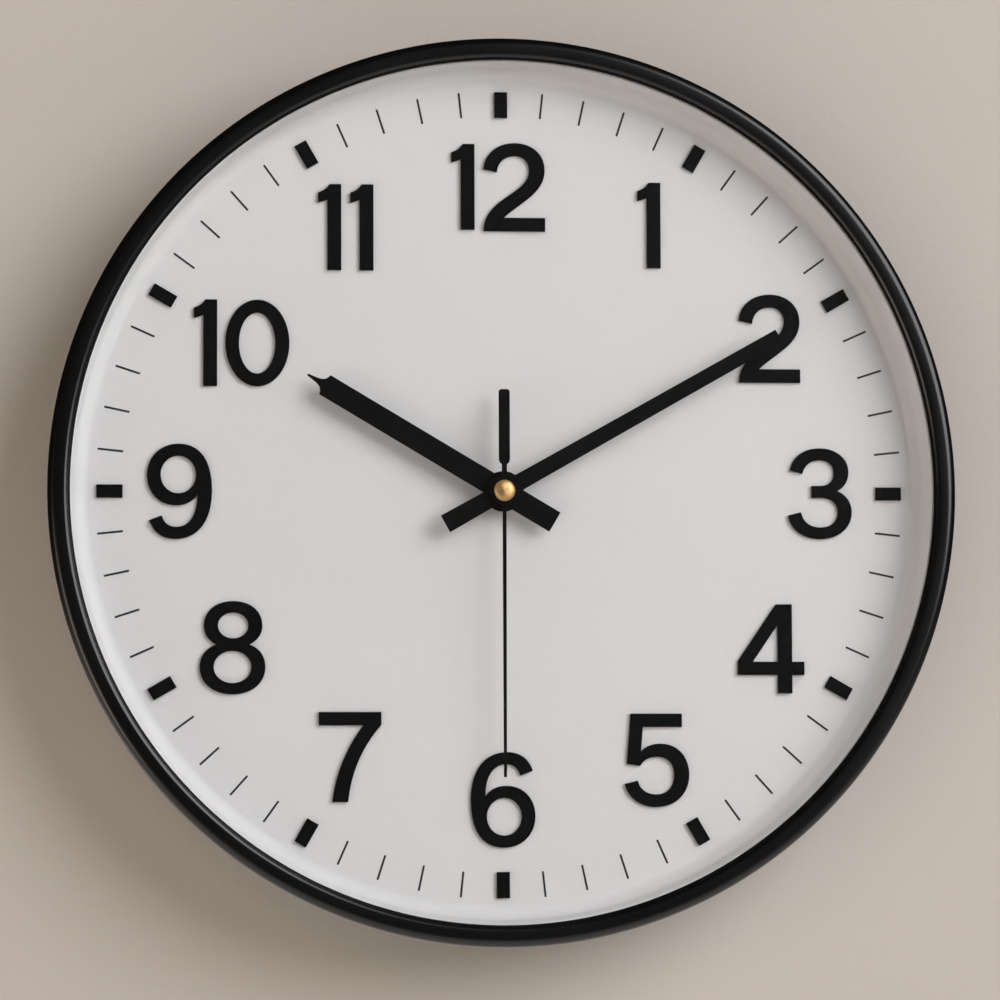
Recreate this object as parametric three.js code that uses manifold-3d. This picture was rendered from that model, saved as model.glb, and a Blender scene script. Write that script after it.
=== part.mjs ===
// A round battery wall clock, 300 mm across and 42 mm deep, as the separate
// pieces it comes apart into. Millimetres, +Z up, +X to the right of someone
// reading the dial, and the dial looks along -Y. The wall is the plane y = 0.
// The origin is the wall hook: the axis of the nail in the keyhole's slot, on
// the wall. Distances called from and to are forward of the wall (y = -from).

import * as THREE from "three";
import { mergeVertices } from "three/addons/utils/BufferGeometryUtils.js";
import Module from "manifold-3d";

const wasm = await Module();
wasm.setup();

// ---- Driving dimensions -------------------------------------------------
const HOOK_RISE = 112; // hook above the clock's axis
const FIT = 0.3; // gap between pieces that touch or nest
const RING_SIDES = 60; // sides of the big round pieces
const ROD_SIDES = 12; // sides of small round pieces
const WIRE_SIDES = 6; // sides of the thinnest pins

// case
const FRAME_RADIUS = 150;
const FRAME_DEPTH = 42;
const SKIRT_INNER = 146.8; // inside of the frame's skirt
const LIP_INNER = 142.8; // the frame's lip in front of the lens
const LIP_FROM = 40.2;
const LENS_RADIUS = SKIRT_INNER - 0.4;
const LENS_FROM = 38.2;
const LENS_TO = 39.9;
const COVER_RADIUS = SKIRT_INNER - 0.5;
const COVER_FROM = 2.5;
const COVER_TO = 4.5;
const CLAMP_INNER = 144.2; // arcs of the rear cover that clamp the dial
const CLAMP_OUTER = 146;
const CLAMP_TO = 36.2;
const CLAMP_HALF_ANGLE = 48;
const WINDOW_HALF = 30; // square window for the movement
const WELL_WALL = 1.6;
const WELL_TO = 23.9;
const BOSS_RING = 141.5; // circle of the screw bosses
const BOSS_RADIUS = 3.2;
const BOSS_TO = 22;
const SCREW_HOURS = [2, 6, 10]; // clock hours where the three screws sit
const SLOT_WIDTH = 5;
const KEYHOLE_HEAD = 9.5; // diameter of the keyhole's round end
const KEYHOLE_DROP = 9; // round end below the hook

// dial
const DIAL_FRONT = 26;
const DIAL_SHEET = 1.6;
const DIAL_FLAT = 136.5; // the flat ends and the concave rim begins here
const RIM_ACROSS = 4.8;
const RIM_DEEP = 5.2;
const MARK_HEIGHT = 1.2; // numerals and hour blocks stand this proud
const BLOCK_RING = 129.7;
const BLOCK_WIDTH = 4.3;
const BLOCK_LENGTH = 8.6;

// hands: hub radius, and where the blade and the hub lie in depth
const HOUR_HUB = { radius: 6.7, from: 31.2, to: 32.2 };
const MINUTE_HUB = { radius: 5.9, from: 33.1, to: 34.1 };
const SECOND_HUB = { radius: 4.7, from: 34.8, to: 35.4 };
const BLADE = 0.5; // thickness of the hour and minute blades
const SECOND_BLADE = 0.4;
const HOUR_ANGLE = -59.3; // degrees clockwise from twelve, at rest
const MINUTE_ANGLE = 60.5;
const SECOND_ANGLE = 180;
const CAP_RADIUS = 3.55;

// movement, a 56 mm square quartz movement
const CASE_HALF = 28;
const CASE_CORNER = 3;
const CASE_WALL = 1.2;
const CASE_FROM = 8.4;
const CASE_TO = 23.2;
const CASE_ROOF = CASE_TO - CASE_WALL; // inside face of the front wall
const MERGE = 0.5; // how far joined lumps run into each other
const BACK_FROM = 7;
const BACK_TO = 8.1;
const STEM_RADIUS = 4;
const STEM_TO = 30.8;
const BATTERY_RADIUS = 7.25;
const BATTERY_Z = -19.1;
const BATTERY_DEPTH = 14.35;
const BATTERY_END = 25.9; // tip of the positive nub
const BATTERY_FLAT = -24.6; // negative end
const CONTACT_X = 26.2; // inner face of the positive contact
const CONTACT_SHEET = 0.3;
const CONTACT_HALF = 5.5; // half the height of a contact plate
const SPRING_WIRE = 0.28; // radius
const WALL_Z = -11.4; // partition between the battery and the gears
const BRIDGE_FROM = 17.3;
const BRIDGE_TO = 18;
const STATOR_FROM = 11.4;
const STATOR_TO = 12.2;
const BOARD_FROM = 9.8;
const BOARD_TO = 10.8;
const COIL_Z = 22.5;
const COIL_CORE = 0.4; // half the thickness of the coil's core

// concentric arbors at the centre
const SECOND_SHAFT = 0.5;
const MINUTE_PIPE = [0.95, 1.75];
const HOUR_PIPE = [2, 2.55];
const STEM_BORE = HOUR_PIPE[1] + FIT;
const MOTION_POST = 0.45; // radius of the post the motion wheel turns on
const PIN = { rotor: 0.35, intermediate: 0.4, third: 0.45 }; // radii of the turning pins
const PIN_FROM = 9.2;
const PIN_TO = 17.8;

// gear train: tooth module of each meshing pair, and the teeth
const TRAIN = 0.3; // most pairs
const SECOND_DRIVE = 0.4; // intermediate pinion and second wheel
const HOUR_DRIVE = 0.288; // motion pinion and hour wheel
const TEETH = {
  rotor: 6, intermediate: 36, intermediatePinion: 6, second: 30, secondPinion: 6,
  third: 45, thirdPinion: 6, centre: 48, cannon: 12, motion: 36, motionPinion: 10,
  hour: 40, knob: 12,
};
const DEPTH = { // where each wheel and pinion lies, from and to
  rotor: [13.5, 14.6], intermediate: [13.8, 14.5], intermediatePinion: [14.4, 15.8],
  second: [15, 15.7], secondPinion: [15.6, 17], third: [16.2, 16.9], thirdPinion: [18.2, 19.2],
  centre: [18.4, 19.1], cannon: [19.5, 20.6], motion: [19.7, 20.3], motionPinion: [20.2, 21.7],
  hour: [20.9, 21.6], knob: [19.5, 20.5],
};
const TOOTH_TIP = 0.8; // in modules beyond the pitch circle
const TOOTH_ROOT = 1.15; // in modules inside it
const TOOTH_SHARE = { root: 0.5, tip: 0.18 }; // of the tooth spacing

const radians = THREE.MathUtils.degToRad;
const turnOfHour = (hour) => radians(hour * 30);
const onDial = (radius, angle) => [radius * Math.sin(angle), radius * Math.cos(angle)];

// ---- Solids -------------------------------------------------------------
// A closed three.js geometry as a manifold solid with its faces pointing out.
function solidOf(geometry) {
  const bare = geometry.index ? geometry.toNonIndexed() : geometry;
  bare.deleteAttribute("normal");
  bare.deleteAttribute("uv");
  const joined = mergeVertices(bare, 1e-4);
  const place = joined.attributes.position;
  const corner = (index) => new THREE.Vector3().fromBufferAttribute(place, index);
  const faces = [];
  let volume = 0;
  for (let i = 0; i < joined.index.count; i += 3) {
    const [a, b, c] = joined.index.array.slice(i, i + 3);
    if (a === b || b === c || c === a) continue;
    faces.push([a, b, c]);
    volume += corner(a).dot(corner(b).cross(corner(c)));
  }
  const outward = volume < 0 ? faces.map((face) => face.reverse()) : faces;
  const triVerts = new Uint32Array(outward.flat());
  return new wasm.Manifold(new wasm.Mesh({ numProp: 3, vertProperties: place.array, triVerts }));
}

// A profile of [radius, forward] points turned about the Y axis.
function turned(profile, sides = RING_SIDES) {
  const points = profile.map(([radius, forward]) => new THREE.Vector2(radius, -forward));
  const onAxis = profile[0][0] === 0 && profile.at(-1)[0] === 0;
  if (!onAxis) points.push(points[0].clone());
  return solidOf(new THREE.LatheGeometry(points, sides));
}

// A flat outline in X and Z with a thickness from one depth to another.
function plate(shape, from, to, curveSegments = 4) {
  const settings = { depth: to - from, bevelEnabled: false, curveSegments };
  const geometry = new THREE.ExtrudeGeometry(shape, settings);
  return solidOf(geometry.rotateX(Math.PI / 2).translate(0, -from, 0));
}

function rod(radius, from, to, [x, z] = [0, 0], sides = ROD_SIDES) {
  const geometry = new THREE.CylinderGeometry(radius, radius, to - from, sides);
  return solidOf(geometry.translate(x, -(from + to) / 2, z));
}

function block([x0, x1], [from, to], [z0, z1]) {
  const geometry = new THREE.BoxGeometry(x1 - x0, to - from, z1 - z0);
  return solidOf(geometry.translate((x0 + x1) / 2, -(from + to) / 2, (z0 + z1) / 2));
}

const polygon = (points) => new THREE.Shape(points.map(([x, z]) => new THREE.Vector2(x, z)));

function roundedRect([x0, x1], [z0, z1], lower, upper) {
  const shape = new THREE.Shape();
  shape.moveTo(x0 + lower, z0).lineTo(x1 - lower, z0);
  if (lower) shape.absarc(x1 - lower, z0 + lower, lower, -Math.PI / 2, 0);
  shape.lineTo(x1, z1 - upper).absarc(x1 - upper, z1 - upper, upper, 0, Math.PI / 2);
  shape.lineTo(x0 + upper, z1).absarc(x0 + upper, z1 - upper, upper, Math.PI / 2, Math.PI);
  shape.lineTo(x0, z0 + lower);
  if (lower) shape.absarc(x0 + lower, z0 + lower, lower, Math.PI, Math.PI * 1.5);
  return shape;
}

function paint(color, roughness, metalness = 0) {
  return new THREE.MeshStandardMaterial({ color, roughness, metalness, flatShading: true });
}

// One named piece of the clock, placed by its group, its position and its turn.
function piece(parent, name, solid, material, [x, z] = [0, 0], turn = 0) {
  const { vertProperties, triVerts } = solid.getMesh();
  const geometry = new THREE.BufferGeometry();
  geometry.setAttribute("position", new THREE.BufferAttribute(vertProperties, 3));
  geometry.setIndex(new THREE.BufferAttribute(triVerts, 1));
  geometry.computeVertexNormals();
  const mesh = new THREE.Mesh(geometry, material);
  mesh.name = name;
  mesh.position.set(x, 0, z);
  mesh.rotation.y = turn;
  parent.add(mesh);
}

const group = new THREE.Group();
const clock = new THREE.Group(); // its origin is on the clock's axis, at the wall
clock.position.z = -HOOK_RISE;
group.add(clock);

const satinBlack = paint("#19191a", 0.42);
const clearPlastic = paint("#f4f7f8", 0.05);
const dialWhite = paint("#e6e6e4", 0.6);
const coverBlack = paint("#202021", 0.6);
const markBlack = paint("#101011", 0.45);
const handBlack = paint("#131314", 0.4, 0.3);
const brass = paint("#d9a04e", 0.3, 1);
const caseBlack = paint("#26262a", 0.55);
const gearWhite = paint("#ece9de", 0.5);
const zincSteel = paint("#b9bcc0", 0.35, 1);
const rubber = paint("#1b1b1b", 0.9);

// ---- Front frame: a moulded ring with a flat face, and three screw bosses --
function frontFrame() {
  const ring = turned([
    [148.4, 0], [149.9, 33], [FRAME_RADIUS, 36.5], [149.6, 38.6], [148.6, 40.4],
    [147.2, 41.6], [145.7, FRAME_DEPTH], [144.5, FRAME_DEPTH - 0.05], [143.6, FRAME_DEPTH - 0.45],
    [143.3, 40.6], [LIP_INNER, 40.5], [LIP_INNER, LIP_FROM], [SKIRT_INNER, LIP_FROM],
    [SKIRT_INNER, 0],
  ]);
  let frame = ring;
  for (const hour of SCREW_HOURS) {
    const centre = onDial(BOSS_RING, turnOfHour(hour));
    const web = block([-1.2, 1.2], [COVER_TO + FIT, BOSS_TO], [BOSS_RING, SKIRT_INNER + MERGE]);
    frame = frame
      .add(rod(BOSS_RADIUS, COVER_TO + FIT, BOSS_TO, centre))
      .add(web.rotate([0, hour * 30, 0]))
      .subtract(rod(1.7, COVER_TO, 15, centre));
  }
  return frame;
}
piece(clock, "front_frame", frontFrame(), satinBlack);

// ---- Lens: a flat clear disc behind the frame's lip ----------------------
const lens = turned([
  [0, LENS_TO], [LENS_RADIUS, LENS_TO], [LENS_RADIUS, LENS_FROM], [0, LENS_FROM],
]);
piece(clock, "cover_lens", lens, clearPlastic);

// ---- Dial: a flat white sheet that curves forward into a concave rim ------
function dialPlate() {
  const rimCentre = DIAL_FRONT + RIM_DEEP;
  const steps = [0, 1, 2, 3].map((step) => (step / 3) * (Math.PI / 2));
  const curve = (across, deep) => steps.map((angle) => [
    DIAL_FLAT + across * Math.sin(angle),
    rimCentre - deep * Math.cos(angle),
  ]);
  const front = curve(RIM_ACROSS, RIM_DEEP);
  const back = curve(RIM_ACROSS + DIAL_SHEET, RIM_DEEP + DIAL_SHEET).reverse();
  const lipTo = LENS_FROM - FIT;
  const lipFrom = CLAMP_TO + FIT;
  return turned([
    [STEM_RADIUS + FIT, DIAL_FRONT], ...front,
    [142.3, lipTo], [LENS_RADIUS, lipTo], [LENS_RADIUS, lipFrom], [143.9, lipFrom], ...back,
    [STEM_RADIUS + FIT, DIAL_FRONT - DIAL_SHEET],
  ]);
}
piece(clock, "dial_plate", dialPlate(), dialWhite);

// ---- Rear cover: disc, movement well, dial clamps, keyhole ---------------
function rearCover() {
  const half = WINDOW_HALF + WELL_WALL;
  const window = block([-WINDOW_HALF, WINDOW_HALF], [0, WELL_TO + 1], [-WINDOW_HALF, WINDOW_HALF]);
  const headZ = HOOK_RISE - KEYHOLE_DROP;
  const disc = turned([
    [0, COVER_TO], [COVER_RADIUS, COVER_TO], [COVER_RADIUS, COVER_FROM], [0, COVER_FROM],
  ]);
  let cover = disc
    .add(block([-half, half], [COVER_FROM, WELL_TO], [-half, half]))
    .subtract(window)
    .subtract(rod(KEYHOLE_HEAD / 2, 0, 6, [0, headZ], 20))
    .subtract(rod(SLOT_WIDTH / 2, 0, 6, [0, HOOK_RISE], 20))
    .subtract(block([-SLOT_WIDTH / 2, SLOT_WIDTH / 2], [0, 6], [headZ, HOOK_RISE]));
  for (const hour of SCREW_HOURS) {
    const screw = turnOfHour(hour);
    cover = cover.subtract(rod(1.8, 0, 6, onDial(BOSS_RING, screw)));
    const middle = Math.PI / 2 - turnOfHour(hour + 2);
    const spread = radians(CLAMP_HALF_ANGLE);
    const arc = new THREE.Shape();
    arc.absarc(0, 0, CLAMP_OUTER, middle - spread, middle + spread);
    arc.absarc(0, 0, CLAMP_INNER, middle + spread, middle - spread, true);
    cover = cover.add(plate(arc, COVER_TO - 1, CLAMP_TO, 10));
  }
  return cover;
}
piece(clock, "rear_cover", rearCover(), coverBlack);

// ---- Three pan-head screws through the rear cover ------------------------
SCREW_HOURS.forEach((hour, index) => {
  const [headFrom, headTo] = [0.5, COVER_FROM - FIT];
  const [slotHalf, slotLong, slotTo] = [0.4, 1.8, 1.3]; // the cross recess
  const screw = rod(3, headFrom, headTo)
    .add(rod(1.4, headFrom, 14, [0, 0], WIRE_SIDES))
    .subtract(block([-slotLong, slotLong], [0, slotTo], [-slotHalf, slotHalf]))
    .subtract(block([-slotHalf, slotHalf], [0, slotTo], [-slotLong, slotLong]));
  piece(clock, `rear_screw_${index + 1}`, screw, zincSteel, onDial(BOSS_RING, turnOfHour(hour)));
});

// ---- Numerals: flat raised figures, each outline from its lower left corner --
// M, L and C are move, line and cubic curve, as in a vector drawing.
function drawn(path, into = new THREE.Shape()) {
  for (const [, letter, list] of path.matchAll(/([MLC])([^MLC]*)/g)) {
    const values = list.trim().split(/[\s,]+/).map(Number);
    if (letter === "M") into.moveTo(...values);
    if (letter === "L") into.lineTo(...values);
    if (letter === "C") into.bezierCurveTo(...values);
  }
  return into;
}

// An oval from four quarter curves.
const QUARTER = 0.5523; // handle length of a quarter circle, in radii
function oval([x, z], [across, up]) {
  const [a, b] = [across * QUARTER, up * QUARTER];
  return `M ${x + across},${z}`
    + ` C ${x + across},${z + b} ${x + a},${z + up} ${x},${z + up}`
    + ` C ${x - a},${z + up} ${x - across},${z + b} ${x - across},${z}`
    + ` C ${x - across},${z - b} ${x - a},${z - up} ${x},${z - up}`
    + ` C ${x + a},${z - up} ${x + across},${z - b} ${x + across},${z}`;
}

const SIX = {
  size: [21.4, 31.5],
  outline: `M 0,15.5 C 0,5.6 3.8,0 11,0 C 17,0 21.4,4.4 21.4,10.4 C 21.4,16.3 17.4,20.4 11.8,20.4
    C 8.8,20.4 6.3,19.2 4.8,16.9 C 4.9,23.6 7.4,27.5 11.8,27.5 C 14.2,27.5 15.8,26.2 16.5,23.7
    L 20.6,25.3 C 19.4,29.2 16.4,31.5 12.1,31.5 C 4.5,31.5 0,25.5 0,15.5`,
  holes: [oval([11.1, 10.2], [5.8, 6.2])],
};
const FIGURES = {
  0: {
    size: [21.2, 28.8],
    outline: oval([10.6, 14.4], [10.6, 14.4]),
    holes: [oval([10.5, 14.35], [6, 10.15])],
  },
  1: {
    size: [7.7, 28.7],
    outline: `M 3.1,0 L 7.7,0 L 7.7,28.7 L 3.7,28.7 C 3.2,27.6 1.8,26.4 0,25.9 L 0,22.5
      C 1,22.8 2.2,23.1 3.1,23.6`,
  },
  2: {
    size: [20.6, 29.6],
    outline: `M 0,0 L 20.6,0 L 20.6,4.5 L 6.8,4.5 C 9.2,6.9 13.6,9.6 16.5,12.3
      C 19.2,14.9 20.5,17.3 20.5,20.6 C 20.5,26.2 16,29.6 10.5,29.6 C 4.6,29.6 0.3,26 0,20.8
      L 4.5,19.8 C 4.8,23.2 7.2,25.3 10.5,25.3 C 13.6,25.3 15.3,23.2 15.3,20.4
      C 15.3,17.8 13.6,15.8 10.6,13.5 C 6.5,10.4 0,7.4 0,0`,
  },
  3: {
    size: [21.4, 30.4],
    outline: `M 0,7.9 C 0.6,3.2 5,0 10.8,0 C 17,0 21.4,3.8 21.4,9 C 21.4,12.4 19.6,14.9 16.6,16.1
      C 19,17.3 20.4,19.6 20.4,22.4 C 20.4,27.1 16.4,30.4 10.6,30.4 C 5.4,30.4 1.4,27.6 0.7,22.9
      L 4.9,21.9 C 5.5,24.7 7.7,26.4 10.7,26.4 C 13.7,26.4 15.5,24.8 15.5,22.2
      C 15.5,19.4 13.7,17.8 10.8,17.8 L 7.9,17.8 L 7.9,13.8 L 11,13.8 C 14.6,13.8 16.7,12 16.7,9
      C 16.7,5.9 14.4,3.9 10.7,3.9 C 7.3,3.9 4.9,5.7 4.3,9`,
  },
  4: {
    size: [22.3, 29.6],
    outline: `M 13.4,0 L 18.2,0 L 18.2,6.1 L 22.3,6.1 L 22.3,10.5 L 18.2,10.5 L 18.2,29.6
      L 12.8,29.6 L 0,10.8 L 0,6.1 L 13.4,6.1`,
    holes: ["M 13.4,10.5 L 5,10.5 L 13.4,22.8"],
  },
  5: {
    size: [21.5, 30.9],
    outline: `M 0,7.7 C 1,3 5.2,0 10.6,0 C 17,0 21.5,4.5 21.5,10.7 C 21.5,16.8 17.6,21 11.9,21
      C 9.2,21 6.9,20.1 5.4,18.4 L 6.1,26.5 L 19.1,26.5 L 19.1,30.9 L 2,30.9 L 0.7,14.3 L 5.1,13.6
      C 6.2,15.6 8.2,16.6 10.8,16.6 C 14.3,16.6 16.5,14.4 16.5,10.6 C 16.5,6.7 14.2,4.2 10.6,4.2
      C 7.4,4.2 5,5.8 4.3,8.8`,
  },
  6: SIX,
  7: {
    size: [20.6, 29.6],
    outline: `M 0,25.2 L 0,29.6 L 20.6,29.6 L 20.6,25.3 C 15,19 10.8,11 9.6,0 L 4.4,0
      C 5.5,9.2 9,17.7 14.6,25.2`,
  },
  8: {
    size: [21.6, 30.7],
    outline: `M 5.5,16.4 C 1.9,15.1 0,12.4 0,8.9 C 0,3.7 4.4,0 10.8,0 C 17.2,0 21.6,3.7 21.6,8.9
      C 21.6,12.4 19.9,15.1 16.4,16.4 C 19.2,17.7 20.6,19.9 20.6,22.7 C 20.6,27.3 16.8,30.7 11,30.7
      C 5.2,30.7 1.4,27.3 1.4,22.7 C 1.4,19.9 2.7,17.7 5.5,16.4`,
    holes: [oval([11, 22.65], [5, 4.25]), oval([10.8, 9], [6.2, 5.3])],
  },
  9: { ...SIX, turned: true },
};
const FIGURE_GAP = { 10: 2.7, 11: 3, 12: 3 }; // between the two figures
const FLAG = 1.8; // a leading 1 is centred without this much of its flag
const NUDGE = { 1: [-0.9, 0.6] }; // the 1 stands a little off its hour's line
const NUMERAL_RING = {
  1: 102.9, 2: 103.9, 3: 106.6, 4: 103.6, 5: 102.5, 6: 101.7,
  7: 101, 8: 103, 9: 106.7, 10: 98.6, 11: 101.8, 12: 102.1,
};

// The solid of one figure, centred on its own axes.
function figure({ size: [width, height], outline, holes = [], turned: upsideDown }) {
  const shape = drawn(outline);
  shape.holes = holes.map((hole) => drawn(hole, new THREE.Path()));
  const solid = plate(shape, DIAL_FRONT + FIT, DIAL_FRONT + FIT + MARK_HEIGHT, 3)
    .translate([-width / 2, 0, -height / 2]);
  return upsideDown ? solid.rotate([0, 180, 0]) : solid;
}

for (let hour = 1; hour <= 12; hour += 1) {
  const digits = [...String(hour)];
  const widths = digits.map((digit) => FIGURES[digit].size[0]);
  const gap = FIGURE_GAP[hour] ?? 0;
  const total = widths.reduce((sum, width) => sum + width, gap);
  const flag = digits[0] === "1" ? FLAG : 0;
  const [x, z] = onDial(NUMERAL_RING[hour], turnOfHour(hour));
  const [aside, above] = NUDGE[hour] ?? [0, 0];
  const sides = digits.length > 1 ? ["_left", "_right"] : [""];
  let left = x + aside - (total + flag) / 2;
  digits.forEach((digit, index) => {
    const place = [left + widths[index] / 2, z + above];
    piece(clock, `numeral_${hour}${sides[index]}`, figure(FIGURES[digit]), markBlack, place);
    left += widths[index] + gap;
  });
}

// ---- Hour blocks: twelve raised bars on the minute ring ------------------
for (let hour = 1; hour <= 12; hour += 1) {
  const bar = block(
    [-BLOCK_WIDTH / 2, BLOCK_WIDTH / 2],
    [DIAL_FRONT + FIT, DIAL_FRONT + FIT + MARK_HEIGHT],
    [-BLOCK_LENGTH / 2, BLOCK_LENGTH / 2],
  );
  const turn = turnOfHour(hour);
  piece(clock, `hour_block_${hour}`, bar, markBlack, onDial(BLOCK_RING, turn), turn);
}

// ---- Hands: a flat blade with a raised hub, drawn pointing at twelve ------
function mirrored(rightSide) {
  const leftSide = rightSide.map(([x, z]) => [-x, z]).reverse();
  return polygon([...rightSide, ...leftSide]);
}

function hand(outline, hub, blade, bore) {
  const middle = (hub.from + hub.to) / 2;
  const bladeFrom = hub === SECOND_HUB ? hub.to - blade : middle - blade / 2;
  return plate(outline, bladeFrom, bladeFrom + blade)
    .add(rod(hub.radius, hub.from, hub.to, [0, 0], 24))
    .subtract(rod(bore, hub.from - 1, hub.to + 1));
}

const hourOutline = mirrored([
  [3.7, -19.85], [3.7, 68.7], [2, 69.3], [1, 70.6], [0.65, 71.7], [0.35, 75.3],
]);
const minuteOutline = mirrored([[3.15, -22.3], [2.73, 12], [2.56, 50], [2.4, 105.9]]);
const secondOutline = mirrored([
  [1.25, -33.6], [1.85, -33], [1.85, -10.2], [1.5, -9.2],
  [0.86, -8.8], [0.86, 0], [0.65, 4.7], [0.52, 94.3],
]);

const hourTurn = new THREE.Group();
const minuteTurn = new THREE.Group();
const secondTurn = new THREE.Group();
hourTurn.rotation.y = radians(HOUR_ANGLE);
minuteTurn.rotation.y = radians(MINUTE_ANGLE);
secondTurn.rotation.y = radians(SECOND_ANGLE);
clock.add(hourTurn, minuteTurn, secondTurn);
const hourHand = hand(hourOutline, HOUR_HUB, BLADE, HOUR_PIPE[1] + FIT);
const minuteHand = hand(minuteOutline, MINUTE_HUB, BLADE, MINUTE_PIPE[1] + FIT);
const secondHand = hand(secondOutline, SECOND_HUB, SECOND_BLADE, SECOND_SHAFT + FIT);
piece(hourTurn, "hour_hand", hourHand, handBlack);
piece(minuteTurn, "minute_hand", minuteHand, handBlack);
piece(secondTurn, "second_hand", secondHand, handBlack);

const CAP_FROM = SECOND_HUB.to + FIT;
const SHAFT_END = CAP_FROM + 0.6;
const cap = turned([
  [0, 37.4], [1.5, 37.25], [2.7, 36.85], [CAP_RADIUS, 36.2], [CAP_RADIUS, CAP_FROM],
  [SECOND_SHAFT + FIT, CAP_FROM], [SECOND_SHAFT + FIT, SHAFT_END + FIT], [0, SHAFT_END + FIT],
], 18);
piece(secondTurn, "second_hand_cap", cap, brass);

// ---- Fixing: washers and the nut that clamp the dial to the movement ------
function washer(outer, from, to, sides) {
  const bore = STEM_RADIUS + FIT;
  return turned([[bore, from], [outer, from], [outer, to], [bore, to]], sides);
}
const NUT_RADIUS = 6;
const WASHER_FROM = DIAL_FRONT + FIT;
const WASHER_TO = WASHER_FROM + 0.4;
const NUT_FROM = WASHER_TO + FIT;
const NUT_TO = NUT_FROM + 2.2;
const nut = rod(NUT_RADIUS, NUT_FROM, NUT_TO, [0, 0], 6)
  .subtract(rod(STEM_RADIUS + FIT, NUT_FROM - 1, NUT_TO + 1, [0, 0], 24));
piece(clock, "rubber_washer", washer(12, CASE_TO + FIT, DIAL_FRONT - DIAL_SHEET - FIT, 20), rubber);
piece(clock, "fixing_washer", washer(NUT_RADIUS, WASHER_FROM, WASHER_TO, 24), zincSteel);
piece(clock, "fixing_nut", nut, brass);

// ---- Gears --------------------------------------------------------------
// Places of the arbors in X and Z.
const pitchSum = (teethA, teethB, module) => ((teethA + teethB) * module) / 2;
const MOTION_REACH = pitchSum(TEETH.cannon, TEETH.motion, TRAIN);
const THIRD_REACH = pitchSum(TEETH.thirdPinion, TEETH.centre, TRAIN);
const THIRD_DRIVE = (THIRD_REACH * 2) / (TEETH.secondPinion + TEETH.third); // module
const UP_LEFT = Math.SQRT1_2;
const CENTRE = [0, 0];
const MOTION = [-MOTION_REACH * UP_LEFT, MOTION_REACH * UP_LEFT];
const KNOB = [-2 * MOTION_REACH * UP_LEFT, 2 * MOTION_REACH * UP_LEFT];
const THIRD = [THIRD_REACH, 0];
const INTERMEDIATE = [0, pitchSum(TEETH.intermediatePinion, TEETH.second, SECOND_DRIVE)];
const ROTOR_REACH = pitchSum(TEETH.rotor, TEETH.intermediate, TRAIN);
const ROTOR = [
  INTERMEDIATE[0] + ROTOR_REACH * Math.cos(radians(60)),
  INTERMEDIATE[1] + ROTOR_REACH * Math.sin(radians(60)),
];

// The turn of gear B that puts its gap where gear A, turned by phaseA, has a tooth.
function meshed(placeA, teethA, phaseA, placeB, teethB) {
  const toward = Math.atan2(placeB[1] - placeA[1], placeB[0] - placeA[0]);
  const teethPast = ((toward - phaseA) * teethA) / (2 * Math.PI);
  const share = teethPast - Math.floor(teethPast);
  return toward + Math.PI - ((0.5 - share) * 2 * Math.PI) / teethB;
}

// A toothed disc with straight-sided teeth, its first tooth turned by phase from +X.
function gear(name, module, phase = 0) {
  const teeth = TEETH[name];
  const pitch = (teeth * module) / 2;
  const tip = pitch + TOOTH_TIP * module;
  const root = pitch - TOOTH_ROOT * module;
  const space = (2 * Math.PI) / teeth;
  const corners = [
    [root, -TOOTH_SHARE.root], [tip, -TOOTH_SHARE.tip],
    [tip, TOOTH_SHARE.tip], [root, TOOTH_SHARE.root],
  ];
  const points = [];
  for (let tooth = 0; tooth < teeth; tooth += 1) {
    for (const [radius, share] of corners) {
      const angle = phase + (tooth + share / 2) * space;
      points.push([radius * Math.cos(angle), radius * Math.sin(angle)]);
    }
  }
  return plate(polygon(points), ...DEPTH[name]);
}

const intermediatePhase = meshed(ROTOR, TEETH.rotor, 0, INTERMEDIATE, TEETH.intermediate);
const secondPhase = meshed(INTERMEDIATE, TEETH.intermediatePinion, 0, CENTRE, TEETH.second);
const thirdPhase = meshed(CENTRE, TEETH.secondPinion, 0, THIRD, TEETH.third);
const centrePhase = meshed(THIRD, TEETH.thirdPinion, 0, CENTRE, TEETH.centre);
const motionPhase = meshed(CENTRE, TEETH.cannon, 0, MOTION, TEETH.motion);
const hourPhase = meshed(MOTION, TEETH.motionPinion, 0, CENTRE, TEETH.hour);
const knobPhase = meshed(MOTION, TEETH.motion, motionPhase, KNOB, TEETH.knob);

const [HOUR_FROM] = DEPTH.hour;
const [CANNON_FROM, CANNON_TO] = DEPTH.cannon;
const hourWheel = gear("hour", HOUR_DRIVE, hourPhase)
  .add(rod(HOUR_PIPE[1], HOUR_FROM, HOUR_HUB.to - 0.2, CENTRE, 24))
  .subtract(rod(HOUR_PIPE[0], HOUR_FROM - 1, HOUR_HUB.to + 1, CENTRE, 24));
const cannonPinion = gear("cannon", TRAIN)
  .add(rod(MINUTE_PIPE[1], CANNON_TO - 0.1, MINUTE_HUB.to - 0.1, CENTRE, 24))
  .subtract(rod(MINUTE_PIPE[0], CANNON_FROM - 0.5, MINUTE_HUB.to + 1, CENTRE));
const motionWheel = gear("motion", TRAIN, motionPhase)
  .add(gear("motionPinion", HOUR_DRIVE))
  .subtract(rod(MOTION_POST + FIT, BRIDGE_TO, CASE_ROOF, CENTRE, WIRE_SIDES));
const centreWheel = gear("centre", TRAIN, centrePhase)
  .subtract(rod(SECOND_SHAFT + FIT, BRIDGE_TO, CANNON_TO, CENTRE, WIRE_SIDES));
const thirdWheel = gear("third", THIRD_DRIVE, thirdPhase)
  .add(gear("thirdPinion", TRAIN))
  .add(rod(PIN.third, PIN_FROM + 0.5, 20.3, CENTRE, WIRE_SIDES));
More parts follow.
